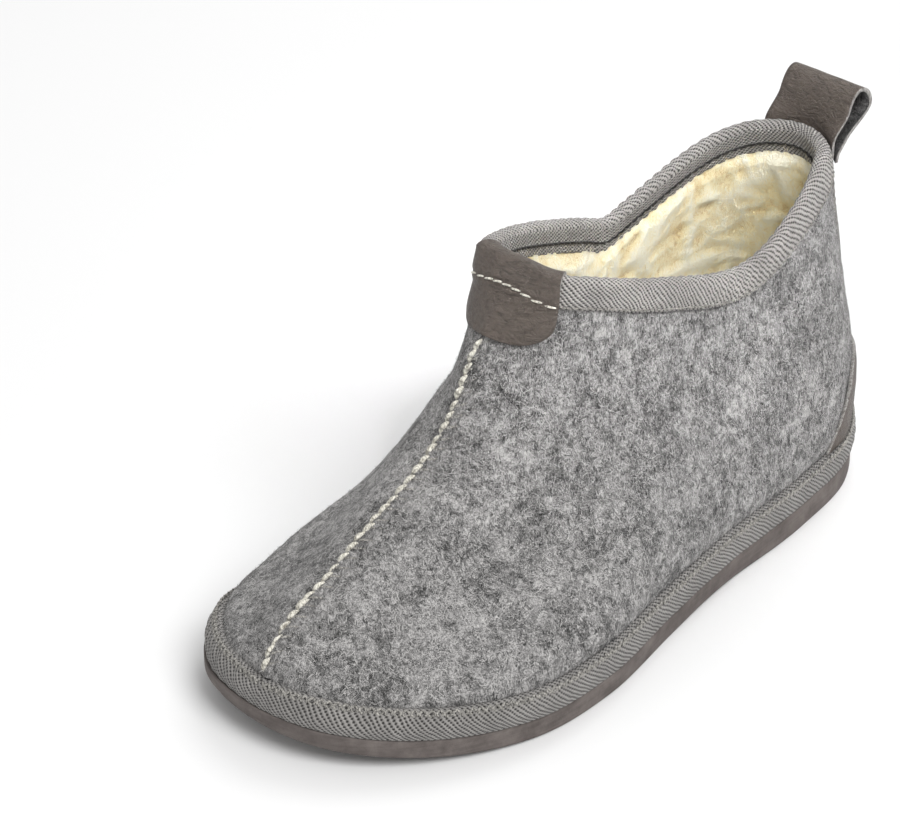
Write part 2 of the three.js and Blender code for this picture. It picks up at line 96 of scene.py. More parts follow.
# along the sole, width to the little-toe side, width to the other side
OUTLINE = [
    (0.022, 0.212, 0.25),
    (0.095, 0.405, 0.415),
    (0.218, 0.545, 0.437),
    (0.34, 0.563, 0.406),
    (0.48, 0.503, 0.363),
    (0.622, 0.453, 0.34),
    (0.768, 0.426, 0.34),
    (0.89, 0.362, 0.327),
    (0.969, 0.21, 0.225),
]
# along the rim, out to either side
RIM_PLAN = [
    (0.006, 0.3),
    (0.075, 0.4),
    (0.24, 0.475),
    (0.48, 0.5),
    (0.7, 0.475),
    (0.86, 0.395),
    (0.965, 0.225),
]
# along the rim, height on the little-toe side, height on the other side
RIM_RISE = [
    (0, 1, 1),
    (0.07, 0.87, 0.88),
    (0.18, 0.64, 0.7),
    (0.31, 0.38, 0.43),
    (0.42, 0.15, 0.18),
    (0.5, 0.03, 0),
    (0.58, 0, 0.14),
    (0.67, 0.16, 0.36),
    (0.76, 0.48, 0.61),
    (0.85, 0.81, 0.82),
    (0.92, 0.95, 0.94),
    (1, 1, 1),
]
# how the wall goes in and up, level by level, at six places from the toe to the heel
WALL_PLACES = [0, 0.12, 0.27, 0.5, 0.75, 1]
WALL_IN = [
    (0, 0, 0.02, 0.055, 0.12, 0.22, 0.35, 0.49, 0.62, 0.735, 0.815, 0.9, 1),
    (0, 0.01, 0.12, 0.27, 0.45, 0.58, 0.69, 0.8, 0.9, 0.955, 0.98, 0.995, 1),
    (0, -0.01, 0.05, 0.22, 0.42, 0.54, 0.65, 0.755, 0.85, 0.92, 0.96, 0.985, 1),
    (0, -0.03, -0.02, 0.06, 0.17, 0.29, 0.41, 0.53, 0.64, 0.74, 0.84, 0.93, 1),
    (0, -0.05, -0.06, -0.01, 0.06, 0.15, 0.26, 0.38, 0.51, 0.64, 0.77, 0.89, 1),
    (0, -0.08, -0.14, -0.16, -0.12, -0.03, 0.1, 0.25, 0.42, 0.6, 0.77, 0.9, 1),
]
WALL_UP = [
    (0, 0.065, 0.12, 0.175, 0.225, 0.275, 0.343, 0.418, 0.493, 0.6, 0.74, 0.88, 1),
    (0, 0.07, 0.14, 0.21, 0.285, 0.36, 0.445, 0.54, 0.64, 0.74, 0.83, 0.915, 1),
    (0, 0.085, 0.17, 0.25, 0.325, 0.4, 0.485, 0.575, 0.67, 0.765, 0.85, 0.925, 1),
    (0, 0.08, 0.16, 0.24, 0.32, 0.4, 0.48, 0.56, 0.64, 0.72, 0.81, 0.905, 1),
    (0, 0.08, 0.17, 0.26, 0.35, 0.43, 0.51, 0.59, 0.67, 0.75, 0.83, 0.915, 1),
    (0, 0.08, 0.17, 0.26, 0.35, 0.43, 0.51, 0.59, 0.67, 0.75, 0.83, 0.915, 1),
]
# the pull loop's middle line: back and up, as shares of its height
LOOP = [
    (0, -0.12),
    (0, 0.1),
    (0, 0.32),
    (0.01, 0.5),
    (0.06, 0.7),
    (0.15, 0.88),
    (0.24, 0.97),
    (0.34, 1),
    (0.45, 0.96),
    (0.55, 0.86),
    (0.6, 0.72),
    (0.58, 0.58),
    (0.5, 0.45),
    (0.39, 0.33),
    (0.26, 0.2),
    (0.15, 0.08),
    (0.11, -0.05),
]


def smooth(places, values, at):
    """A smooth curve through a table's points. values may hold one row of points for each place."""
    places = np.asarray(places, float)
    values = np.asarray(values, float)
    at = np.clip(at, places[0], places[-1])
    last = len(places) - 1
    low = np.clip(np.searchsorted(places, at, side="left") - 1, 0, last - 1)
    column = np.arange(np.size(at)).reshape(np.shape(at))
    pick = (lambda k: values[k]) if values.ndim == 1 else (lambda k: values[k, column])

    def slope(k):
        before = np.maximum(k - 1, 0)
        after = np.minimum(k + 1, last)
        return (pick(after) - pick(before)) / (places[after] - places[before])

    width = places[low + 1] - places[low]
    t = (at - places[low]) / width
    return (
        pick(low) * (1 + 2 * t) * (1 - t) ** 2
        + slope(low) * width * t * (1 - t) ** 2
        + pick(low + 1) * t * t * (3 - 2 * t)
        + slope(low + 1) * width * t * t * (t - 1)
    )


def ease(value, low, high):
    """0 below low, 1 above high, smooth between."""
    t = np.clip((value - low) / (high - low), 0, 1)
    return t * t * (3 - 2 * t)


def hump(value, centre, width):
    """1 at the centre, falling off smoothly on both sides."""
    return np.exp(-(((value - centre) / width) ** 2))


def unit(vectors):
    return vectors / np.linalg.norm(vectors, axis=-1, keepdims=True)


def lengths_along(points):
    """The way from a line's first point to each of its points."""
    return np.concatenate([[0], np.cumsum(np.linalg.norm(np.diff(points, axis=0), axis=1))])


def plan_loop(points):
    """A closed curve in plan as a function of the share of each half's length."""
    p = np.array(points, float)
    count = len(p)
    steps = 1200
    halves = []
    for half in range(2):
        t = (half / 2 + np.arange(steps + 1) / steps / 2) * count
        k = np.floor(t).astype(int)
        w = (t - k)[:, None]
        p0, p1, p2, p3 = (p[(k + d) % count] for d in (-1, 0, 1, 2))
        pairs = ((p0, p1), (p1, p2), (p2, p3))
        d0, d1, d2 = (np.linalg.norm(b - a, axis=1)[:, None] ** 0.5 for a, b in pairs)
        m1 = ((p1 - p0) / d0 - (p2 - p0) / (d0 + d1) + (p2 - p1) / d1) * d1
        m2 = ((p2 - p1) / d1 - (p3 - p1) / (d1 + d2) + (p3 - p2) / d2) * d1
        samples = p1 + m1 * w + (3 * (p2 - p1) - 2 * m1 - m2) * w**2 + (2 * (p1 - p2) + m1 + m2) * w**3
        halves.append((samples, lengths_along(samples)))

    def at(around):
        turn = np.asarray(around, float) % 1
        result = np.zeros(turn.shape + (2,))
        for half, (samples, lengths) in enumerate(halves):
            mine = (turn >= half / 2) & (turn < (half + 1) / 2)
            wanted = (turn[mine] * 2 - half) * lengths[-1]
            for axis in range(2):
                result[mine, axis] = np.interp(wanted, lengths, samples[:, axis])
        return result

    return at


def both_sides(rows, width, start, length, front, back):
    right = [(row[1] * width, start + row[0] * length) for row in rows]
    left = [(-row[-1] * width, start + row[0] * length) for row in reversed(rows)]
    return plan_loop([(0, front), *right, (0, back), *left])


sole_edge = both_sides(OUTLINE, BALL_WIDTH, TOE_END, SOLE_LENGTH, TOE_END, HEEL_END)
rim_edge = both_sides(RIM_PLAN, RIM_WIDTH, RIM_FRONT, RIM_LENGTH, RIM_FRONT, RIM_BACK)


def out_of_sole(around):
    along = sole_edge(around + 0.004) - sole_edge(around - 0.004)
    out = np.stack([along[..., 1], -along[..., 0]], -1)
    return unit(out)


def sole_edge_out(around, distance):
    return sole_edge(around) + out_of_sole(around) * np.asarray(distance)[..., None]


def spring_at(y):
    return TOE_SPRING * np.clip((TOE_END + SPRING_LENGTH - y) / SPRING_LENGTH, 0, 1) ** 2


def ground_height(y):
    from_arch = np.clip(np.abs(y - ARCH_CENTRE) / (ARCH_LENGTH / 2), 0, 1)
    return spring_at(y) + ARCH_RISE * (1 + np.cos(np.pi * from_arch)) / 2


def outsole_top(y):
    share = np.clip((y - TOE_END) / SOLE_LENGTH, 0, 1)
    return spring_at(y) + OUTSOLE_TOE + (OUTSOLE_HEEL - OUTSOLE_TOE) * share


def rim_height(y, lateral):
    along = (y - RIM_FRONT) / RIM_LENGTH
    end = np.where(along < DIP_ALONG, THROAT_HEIGHT, HEEL_HEIGHT)
    places, outer, inner = zip(*RIM_RISE)
    rise = np.where(lateral, smooth(places, outer, along), smooth(places, inner, along))
    return DIP_HEIGHT + (end - DIP_HEIGHT) * rise


# The felt's outer face as a fine table: rows go round from the toe by the little-toe side, columns
# from the sole up to the rim.
ROUND = 960
RISE = 240


def wall_table():
    turn = np.arange(ROUND) / ROUND
    levels = np.arange(RISE + 1) / RISE
    from_toe = np.where(turn < 0.5, turn * 2, 2 - turn * 2)
    run = [1, 0, 1, 2, 3, 4, 5, 4]
    places = [-WALL_PLACES[1], *WALL_PLACES, 2 - WALL_PLACES[4]]
    rows = np.arange(len(WALL_IN[0])) / (len(WALL_IN[0]) - 1)
    foot = np.zeros((ROUND, 3))
    foot[:, :2] = sole_edge_out(turn, -WALL_INSET)
    foot[:, 2] = outsole_top(foot[:, 1]) + GAP
    top = np.zeros((ROUND, 3))
    top[:, :2] = rim_edge(turn)
    top[:, 2] = rim_height(top[:, 1], turn < 0.5)
    table = np.zeros((ROUND, RISE + 1, 3))
    for j, level in enumerate(levels):
        at = np.full(1, level)
        ins = [smooth(rows, WALL_IN[k], at)[0] for k in run]
        ups = [smooth(rows, WALL_UP[k], at)[0] for k in run]
        go_in = smooth(places, ins, from_toe)
        go_up = smooth(places, ups, from_toe)
        table[:, j, :2] = foot[:, :2] + (top - foot)[:, :2] * go_in[:, None]
        table[:, j, 2] = foot[:, 2] + (top - foot)[:, 2] * go_up
    return table


WALL = wall_table()
ACROSS = np.roll(WALL, -3, axis=0) - np.roll(WALL, 3, axis=0)
ALONG = np.gradient(WALL, axis=1)
NORMAL = unit(np.cross(ACROSS, ALONG))
STEPS = np.linalg.norm(np.diff(WALL, axis=1), axis=2)
WAYS = np.concatenate([np.zeros((ROUND, 1)), np.cumsum(STEPS, axis=1)], axis=1)
LENGTHS = WAYS[:, -1]
EVEN = np.arange(RISE + 1) / RISE
LEVEL_OF = np.array([np.interp(EVEN, way / way[-1], EVEN) for way in WAYS])


def read(table, around, share):
    """A table read between its points; it closes on itself round the shoe."""
    around, share = np.broadcast_arrays(np.asarray(around, float), np.asarray(share, float))
    u = (around % 1) * ROUND
    i = np.floor(u).astype(int)
    fu = u - i
    v = np.clip(share, 0, 1) * RISE
    j = np.minimum(v.astype(int), RISE - 1)
    fv = v - j
    if table.ndim == 3:
        fu = fu[..., None]
        fv = fv[..., None]
    i0 = i % ROUND
    i1 = (i + 1) % ROUND
    low = table[i0, j] * (1 - fv) + table[i0, j + 1] * fv
    high = table[i1, j] * (1 - fv) + table[i1, j + 1] * fv
    return low * (1 - fu) + high * fu


def wall(around, level, off=0.0):
    """A point off the felt's plain outer face."""
    place = read(WALL, around, level)
    return place + wall_normal(around, level) * np.broadcast_to(off, place.shape[:-1])[..., None]


def wall_normal(around, level):
    return unit(read(NORMAL, around, level))


def up_from_rim(around):
    return unit(read(WALL, around, 1.0) - read(WALL, around, 0.97))


def height_of(around):
    around = np.asarray(around, float)
    return np.interp((around % 1) * ROUND, np.arange(ROUND + 1), np.append(LENGTHS, LENGTHS[0]))


def level_up(around, way):
    """The level that lies a way along the wall from its foot."""
    return read(LEVEL_OF, around, np.asarray(way) / height_of(around))


def level_down(around, way):
    """The level that lies a way down from the rim."""
    return read(LEVEL_OF, around, 1 - np.asarray(way) / height_of(around))


def around_at_x(x, level, middle):
    """The place near the toe or the heel where the wall at one level has a given x."""
    tries = middle + np.linspace(-0.14, 0.14, 281)
    xs = read(WALL, tries, level)[:, 0]
    if middle == 0:
        return np.interp(x, xs, tries)
    return np.interp(x, xs[::-1], tries[::-1])


def noise(points, size, seed):
    """Smooth noise from -1 to 1, with lumps of about one size."""
    q = points / size + seed * 7.31
    base = np.floor(q).astype(np.int64)
    f = q - base
    f = f * f * (3 - 2 * f)
    total = np.zeros(points.shape[:-1])
    for corner in range(8):
        step = np.array([corner & 1, (corner >> 1) & 1, corner >> 2])
        cell = base + step
        mixed = (cell[..., 0] * 73856093) ^ (cell[..., 1] * 19349663) ^ (cell[..., 2] * 83492791)
        mixed = mixed ^ (seed * 2654435)
        mixed = (mixed ^ (mixed >> 13)) * 1274126177
        value = ((mixed ^ (mixed >> 16)) & 0xFFFF) / 32767.5 - 1
        weight = np.prod(np.where(step == 1, f, 1 - f), axis=-1)
        total += value * weight
    return total


# Materials


def srgb(red, green, blue):
    shares = (red / 255, green / 255, blue / 255)
    linear = [c / 12.92 if c <= 0.04045 else ((c + 0.055) / 1.055) ** 2.4 for c in shares]
    return (*linear, 1.0)


class Shader:
    """A material and short ways to add its nodes."""

    def __init__(self, name, roughness=0.9, sheen=0.0, specular=0.3):
        self.material = bpy.data.materials.new(name)
        self.material.use_nodes = True
        self.tree = self.material.node_tree
        self.surface = self.tree.nodes["Principled BSDF"]
        self.surface.inputs["Roughness"].default_value = roughness
        self.surface.inputs["Specular IOR Level"].default_value = specular
        self.surface.inputs["Sheen Weight"].default_value = sheen
        self.surface.inputs["Sheen Roughness"].default_value = 0.5
        self.coords = self.tree.nodes.new("ShaderNodeTexCoord")

    def set(self, socket, value):
        if isinstance(value, bpy.types.NodeSocket):
            self.tree.links.new(value, socket)
        else:
            socket.default_value = value

    def math(self, operation, a, b=0.0):
        node = self.tree.nodes.new("ShaderNodeMath")
        node.operation = operation
        for socket, value in zip(node.inputs, (a, b)):
            self.set(socket, value)
        return node.outputs[0]

    def add(self, a, b):
        return self.math("ADD", a, b)

    def times(self, a, b):
        return self.math("MULTIPLY", a, b)

    def swing(self, noise, amount):
        """A noise that swings about zero by an amount."""
        return self.times(self.math("SUBTRACT", noise, 0.5), amount)

    def turned(self, rotation, scale):
        node = self.tree.nodes.new("ShaderNodeMapping")
        self.set(node.inputs["Vector"], self.coords.outputs["Object"])
        node.inputs["Rotation"].default_value = rotation
        node.inputs["Scale"].default_value = scale
        return node.outputs[0]

    def noise(self, scale, detail=4.0, rough=0.55, vector=None, distortion=0.0):
        node = self.tree.nodes.new("ShaderNodeTexNoise")
        self.set(node.inputs["Vector"], self.coords.outputs["Object"] if vector is None else vector)
        node.inputs["Scale"].default_value = scale
        node.inputs["Detail"].default_value = detail
        node.inputs["Roughness"].default_value = rough
        node.inputs["Distortion"].default_value = distortion
        return node.outputs["Fac"]

    def cells(self, scale, feature="F1"):
        node = self.tree.nodes.new("ShaderNodeTexVoronoi")
        self.set(node.inputs["Vector"], self.coords.outputs["Object"])
        node.feature = feature
        node.inputs["Scale"].default_value = scale
        return node.outputs["Distance"]

    def ramp(self, value, stops):
        node = self.tree.nodes.new("ShaderNodeValToRGB")
        self.set(node.inputs[0], value)
        elements = node.color_ramp.elements
        while len(elements) < len(stops):
            elements.new(0.5)
        for element, (place, color) in zip(elements, stops):
            element.position = place
            element.color = color
        return node.outputs["Color"]

    def range(self, value, low, high, to_low=0.0, to_high=1.0):
        node = self.tree.nodes.new("ShaderNodeMapRange")
        for socket, number in zip(node.inputs, (value, low, high, to_low, to_high)):
            self.set(socket, number)
        return node.outputs[0]

    def mix(self, factor, a, b):
        node = self.tree.nodes.new("ShaderNodeMix")
        node.data_type = "RGBA"
        self.set(node.inputs["Factor"], factor)
        self.set(node.inputs["A"], a)
        self.set(node.inputs["B"], b)
        return node.outputs["Result"]

    def uv(self):
        node = self.tree.nodes.new("ShaderNodeSeparateXYZ")
        self.set(node.inputs[0], self.coords.outputs["UV"])
        return node.outputs["X"], node.outputs["Y"]

    def bump(self, height, depth, strength=1.0, under=None):
        node = self.tree.nodes.new("ShaderNodeBump")
        node.inputs["Distance"].default_value = depth
        node.inputs["Strength"].default_value = strength
        self.set(node.inputs["Height"], height)
        if under is not None:
            self.set(node.inputs["Normal"], under)
        return node.outputs["Normal"]

    def finish(self, color, normal=None, roughness=None):
        self.set(self.surface.inputs["Base Color"], color)
        if normal is not None:
            self.set(self.surface.inputs["Normal"], normal)
        if roughness is not None:
            self.set(self.surface.inputs["Roughness"], roughness)
        return self.material


def felt_material(name, shade=1.0):
    s = Shader(name, roughness=0.95, sheen=0.08, specular=0.12)
    patches = s.noise(270, 6, 0.7, distortion=0.8)
    clouds = s.noise(60, 2, 0.5)
    fibres = []
    for rotation, seed in (((0.4, 0.2, 0.3), 0), ((1.5, 0.7, 1.9), 1), ((0.9, 2.1, 0.8), 2)):
        stretched = s.turned(rotation, (1.0, 1.0, 0.2))
        fibres.append(s.noise(1150 + 190 * seed, 4, 0.72, stretched, 2.2))
    pick = s.noise(520, 1, 0.5)
    first = s.mix(s.range(pick, 0.42, 0.5), fibres[0], fibres[1])
    fibre = s.mix(s.range(pick, 0.5, 0.6), first, fibres[2])
    tone = s.add(s.add(s.times(patches, 0.74), s.times(clouds, 0.26)), s.swing(fibre, 1.5))
    dark, low, mid, high, light = (
        tuple(c * shade for c in srgb(*rgb)[:3]) + (1.0,)
        for rgb in ((42, 42, 42), (90, 89, 88), (128, 127, 126), (162, 160, 159), (200, 198, 196))
    )
    color = s.ramp(tone, [(0.26, dark), (0.41, low), (0.5, mid), (0.59, high), (0.76, light)])
    normal = s.bump(fibre, 0.0006, 0.6, s.bump(patches, 0.001, 0.3))
    return s.finish(color, normal)


def pile_material():
    s = Shader("wool_pile", roughness=1.0, sheen=0.5, specular=0.1)
    depth = s.tree.nodes.new("ShaderNodeAttribute")
    depth.attribute_name = "depth"
    curls = s.noise(520, 5, 0.66, distortion=1.8)
    fine = s.noise(1900, 3, 0.6, s.turned((0.5, 0.3, 0.9), (1, 1, 0.25)), 1.0)
    # The tufts' height sets the colour: the low parts between tufts go a darker golden tan, which is painted
    # shade in the wool's hollows.
    height = s.add(s.add(depth.outputs["Fac"], s.swing(curls, 0.95)), s.swing(fine, 0.75))
    colors = (srgb(216, 186, 124), srgb(246, 228, 174), srgb(254, 243, 203), srgb(255, 251, 229))
    color = s.ramp(height, list(zip((0.0, 0.16, 0.4, 0.7), colors)))
    normal = s.bump(fine, 0.001, 0.6, s.bump(curls, 0.0022, 0.6))
    return s.finish(color, normal)


def tape_material(name, column, light, dark):
    """Woven tape: slanting ribs that turn back past a column's width, broken by the crossing threads."""
    s = Shader(name, roughness=0.85, sheen=0.15, specular=0.25)
    u, v = s.uv()
    wander = s.swing(s.noise(130, 2), 1.5)
    slant = s.math("PINGPONG", s.add(v, wander), column)
    rib_phase = s.math("DIVIDE", s.add(s.add(u, slant), wander), RIB_PITCH)
    ribs = s.math("SINE", s.times(rib_phase, math.tau))
    thread_phase = s.math("DIVIDE", s.math("SUBTRACT", slant, s.times(u, 0.5)), THREAD_PITCH)
    threads = s.math("SINE", s.times(thread_phase, math.tau))
    weave = s.add(s.add(s.times(ribs, 0.29), s.times(threads, 0.19)), 0.5)
    height = s.add(weave, s.swing(s.noise(2400, 4, 0.7), 0.6))
    soil = s.noise(70, 3, 0.6)
    middle = tuple((a + b) / 2 for a, b in zip(dark, light))
    color = s.ramp(height, [(0.16, dark), (0.38, middle), (0.6, light)])
    color = s.mix(s.range(soil, 0.35, 0.65, 0.0, 0.25), color, dark)
    return s.finish(color, s.bump(height, 0.0007, 1.0))


def leather_material(name, face, crease_shade):
    s = Shader(name, roughness=0.46, specular=0.45)
    pebbles = s.cells(760, "DISTANCE_TO_EDGE")
    fine = s.cells(1500, "DISTANCE_TO_EDGE")
    folds = s.noise(480, 5, 0.62, s.turned((0.2, 0.1, 0.25), (0.6, 1.0, 1.3)), 1.3)
    wear = s.noise(60, 4, 0.6)
    # Where the folds lie low the colour goes towards the second, darker colour: painted shade in the
    # leather's creases.
    color = s.mix(s.range(folds, 0.35, 0.5, 0.4, 1.0), crease_shade, face)
    worn = tuple(min(1.0, c * 1.45) for c in face[:3]) + (1.0,)
    color = s.mix(s.range(wear, 0.45, 0.75, 0.0, 0.22), color, worn)
    rough = s.range(s.noise(900, 2), 0.3, 0.7, 0.38, 0.58)
    normal = s.bump(fine, 0.0003, 0.35, s.bump(pebbles, 0.0004, 0.35, s.bump(folds, 0.0019, 0.9)))
    return s.finish(color, normal, rough)


def thread_material(name, light, dark, size=900):
    s = Shader(name, roughness=0.8, sheen=0.1, specular=0.25)
    twist = s.noise(size * 2, 3, 0.6, s.turned((0.6, 0.2, 0.7), (1, 1, 0.35)), 0.8)
    # Dark on the low parts of the twist and light on the high: the dark is painted shade in the grooves.
    color = s.mix(s.range(twist, 0.35, 0.62), dark, light)
    return s.finish(color, s.bump(twist, 0.0004, 0.6))


def rubber_material():
    s = Shader("foam_rubber", roughness=0.75, specular=0.3)
    lines = s.noise(1500, 3, 0.6, s.turned((0, 0, 0), (0.03, 0.03, 1)), 0.3)
    blotch = s.noise(120, 5, 0.65)
    specks = s.cells(1600)
    tone = s.add(s.times(lines, 0.22), s.times(blotch, 0.78))
    color = s.ramp(tone, [(0.34, srgb(78, 72, 69)), (0.5, srgb(97, 90, 87)), (0.66, srgb(113, 106, 102))])
    color = s.mix(s.range(specks, 0.0, 0.14, 0.5, 0.0), color, srgb(56, 51, 49))
    return s.finish(color, s.bump(lines, 0.0003, 0.35, s.bump(specks, 0.0003, 0.2)))


def plain_fibre(name, rgb):
    return Shader(name, roughness=0.9, sheen=0.1, specular=0.2).finish(srgb(*rgb))


FELT_GREY = felt_material("grey_felt")
FELT_EDGE = felt_material("grey_felt_edge", 0.8)
FLESH = felt_material("leather_flesh_side", 0.3)
PILE_CREAM = pile_material()
TAPE_LIGHT = srgb(188, 184, 180)
TAPE_DARK = srgb(48, 46, 43)
COLLAR_TAPE = tape_material("herringbone_collar", 16.0, TAPE_LIGHT, TAPE_DARK)
BAND_TAPE = tape_material("herringbone_band", 16.0, srgb(163, 160, 157), srgb(46, 44, 42))
# The second colour is painted shade for the creases.
LEATHER_FACE = leather_material("pebbled_leather", srgb(91, 82, 75), srgb(52, 46, 42))
# For the cut edge and the threads, the second colour is painted shade in the low parts of the bump.
LEATHER_EDGE = thread_material("cut_leather_edge", srgb(158, 156, 153), srgb(92, 88, 84))
SEAM_THREAD = thread_material("offwhite_thread", srgb(236, 233, 221), srgb(132, 127, 116))
GREY_THREAD = thread_material("grey_thread", srgb(178, 175, 169), srgb(44, 42, 40), 1400)
BLACK_THREAD = thread_material("black_thread", srgb(52, 50, 48), srgb(20, 20, 20))
RUBBER = rubber_material()


# Meshes


def build(name, points, faces, materials, slots=None, uvs=None, flip=False, depth=None):
    """A mesh object from points in millimetres and quads or triangles."""
    mesh = bpy.data.meshes.new(name)
    placed = (np.asarray(points) + TO_FRAME) * MM
    faces = np.asarray(faces)[:, ::-1] if flip else np.asarray(faces)
    mesh.vertices.add(len(placed))
    mesh.vertices.foreach_set("co", placed.ravel())
    size = faces.shape[1]
    mesh.loops.add(faces.size)
    mesh.loops.foreach_set("vertex_index", faces.ravel())
    mesh.polygons.add(len(faces))
    mesh.polygons.foreach_set("loop_start", np.arange(len(faces)) * size)
    mesh.polygons.foreach_set("use_smooth", np.ones(len(faces), bool))
    if slots is not None:
        mesh.polygons.foreach_set("material_index", np.asarray(slots, np.int32))
    if uvs is not None:
        layer = mesh.uv_layers.new(name="UVMap")
        corner = uvs[:, ::-1] if flip else uvs
        layer.data.foreach_set("uv", corner.reshape(-1, 2).ravel())
    if depth is not None:
        shade = mesh.attributes.new("depth", "FLOAT", "POINT")
        shade.data.foreach_set("value", np.asarray(depth, np.float32).ravel())
    mesh.update(calc_edges=True)
    mesh.validate()
    for material in materials:
        mesh.materials.append(material)
    obj = bpy.data.objects.new(name, mesh)
    bpy.context.collection.objects.link(obj)
    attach(obj, "root")
    return obj


def volume_sign(points, faces):
    a, b, c = (points[faces[:, k]] for k in (0, 1, 2))
    return np.sum(np.cross(a, b) * c)


def grid(name, rows, material, close_u=False, close_v=False, uv=None, flip=None, depth=None):
    """A mesh on a grid of points, closed along either way. It faces outwards unless flip says."""
    nu, nv = rows.shape[:2]
    i = np.arange(nu if close_u else nu - 1)[:, None]
    k = np.arange(nv if close_v else nv - 1)[None, :]
    corners = [(i, k), (i + 1, k), (i + 1, k + 1), (i, k + 1)]
    faces = np.stack([((a % nu) * nv + b % nv) + 0 * (i + k) for a, b in corners], -1).reshape(-1, 4)
    uvs = None
    if uv is not None:
        places = [np.broadcast_arrays(*corner) for corner in corners]
        uvs = np.stack([np.stack([table[a, b] for table in uv], -1) for a, b in places], 2).reshape(-1, 4, 2)
    points = rows.reshape(-1, 3)
    if flip is None:
        flip = volume_sign(points, faces) < 0
    return build(name, points, faces, [material], uvs=uvs, flip=flip, depth=depth)


def tubes(name, paths, radii, material, sides=7):
    """Round threads along paths, an array of (threads, points, 3), left open at the ends."""
    count, length = paths.shape[:2]
    along = np.gradient(paths, axis=1)
    along /= np.linalg.norm(along, axis=2, keepdims=True) + 1e-9
    hint = np.where(np.abs(along[..., 2:3]) > 0.9, np.array([1.0, 0, 0]), np.array([0, 0, 1.0]))
    side = unit(np.cross(along, hint))
    other = np.cross(side, along)
    turn = (np.arange(sides) / sides * math.tau)[:, None]
    ring = side[:, :, None] * np.cos(turn) + other[:, :, None] * np.sin(turn)
    points = paths[:, :, None] + ring * np.broadcast_to(radii, (count, length))[:, :, None, None]
    t = np.arange(count)[:, None, None] * length * sides
    i = np.arange(length - 1)[None, :, None]
    k = np.arange(sides)[None, None, :]
    nxt = (k + 1) % sides
    low = t + i * sides
    faces = np.stack([low + k, low + nxt, low + sides + nxt, low + sides + k], -1)
    return build(name, points.reshape(-1, 3), faces.reshape(-1, 4), [material])


def ribbons(name, starts, ways, bends, lifts, widths, materials, slots):
    """Thin flat fibres in three joints: starts, directions with length, sideways bend and lift."""
    length = np.linalg.norm(ways, axis=1, keepdims=True)
    along = ways / length
    side = np.cross(lifts, along)
    side /= np.linalg.norm(side, axis=1, keepdims=True) + 1e-9
    shares = np.array([0.0, 0.35, 0.7, 1.0])
    middle = (
        starts[:, None]
        + ways[:, None] * shares[None, :, None]
        + (bends[:, None, None] * side[:, None] * np.sin(shares * np.pi)[None, :, None])
        + lifts[:, None] * (shares**2)[None, :, None]
    )
    half = widths[:, None] * np.array([0.6, 1.0, 0.8, 0.25])[None, :] / 2
    points = np.stack([middle - side[:, None] * half[..., None], middle + side[:, None] * half[..., None]], 2)
    base = np.arange(len(starts))[:, None] * 8
    k = np.arange(3)[None, :] * 2
    faces = np.stack([base + k, base + k + 1, base + k + 3, base + k + 2], -1).reshape(-1, 4)
    return build(name, points.reshape(-1, 3), faces, materials, np.repeat(slots, 3))


def tape_grid(name, rows, material):
    """A closed tape whose weave is laid out in millimetres, round the shoe and across."""
    points = np.stack(rows, 1)
    middle = points[:, len(rows) // 3]
    way_round = lengths_along(np.vstack([middle, middle[:1]]))
    across = np.cumsum(np.linalg.norm(np.diff(points, axis=1), axis=2).mean(0))
    across = np.concatenate([[0], across, across[-1:] + 1])
    return grid(name, points, material, True, True, np.meshgrid(way_round, across, indexing="ij"))


# Felt upper

# Soft troughs and swells, listed: where round the shoe, at what level, how long each way in
# millimetres, its slant, and how far out.
FOLDS = [
    (0.075, 0.42, 26, 5, 0.7, -0.55),
    (0.925, 0.45, 24, 5, -0.7, -0.5),
    (0.06, 0.62, 22, 5, 0.35, -0.5),
    (0.935, 0.64, 20, 5, -0.4, -0.45),
    (0.13, 0.6, 30, 8, 0.9, 0.5),
    (0.2, 0.72, 26, 6, 1.1, -0.7),
    (0.245, 0.55, 34, 9, 0.8, 0.5),
    (0.31, 0.78, 24, 6, 1.9, -0.6),
    (0.36, 0.5, 30, 8, 1.2, -0.4),
    (0.43, 0.62, 22, 6, 2.2, -0.45),
    (0.64, 0.78, 24, 6, 1.2, -0.6),
    (0.72, 0.6, 30, 8, 2.1, -0.5),
    (0.8, 0.72, 26, 6, 2.3, -0.6),
    (0.87, 0.5, 30, 9, 2.4, 0.5),
    (0.03, 0.17, 14, 5, 0.2, -0.4),
    (0.965, 0.17, 12, 4, -0.3, -0.5),
    (0.94, 0.2, 12, 4, -0.5, -0.5),
]


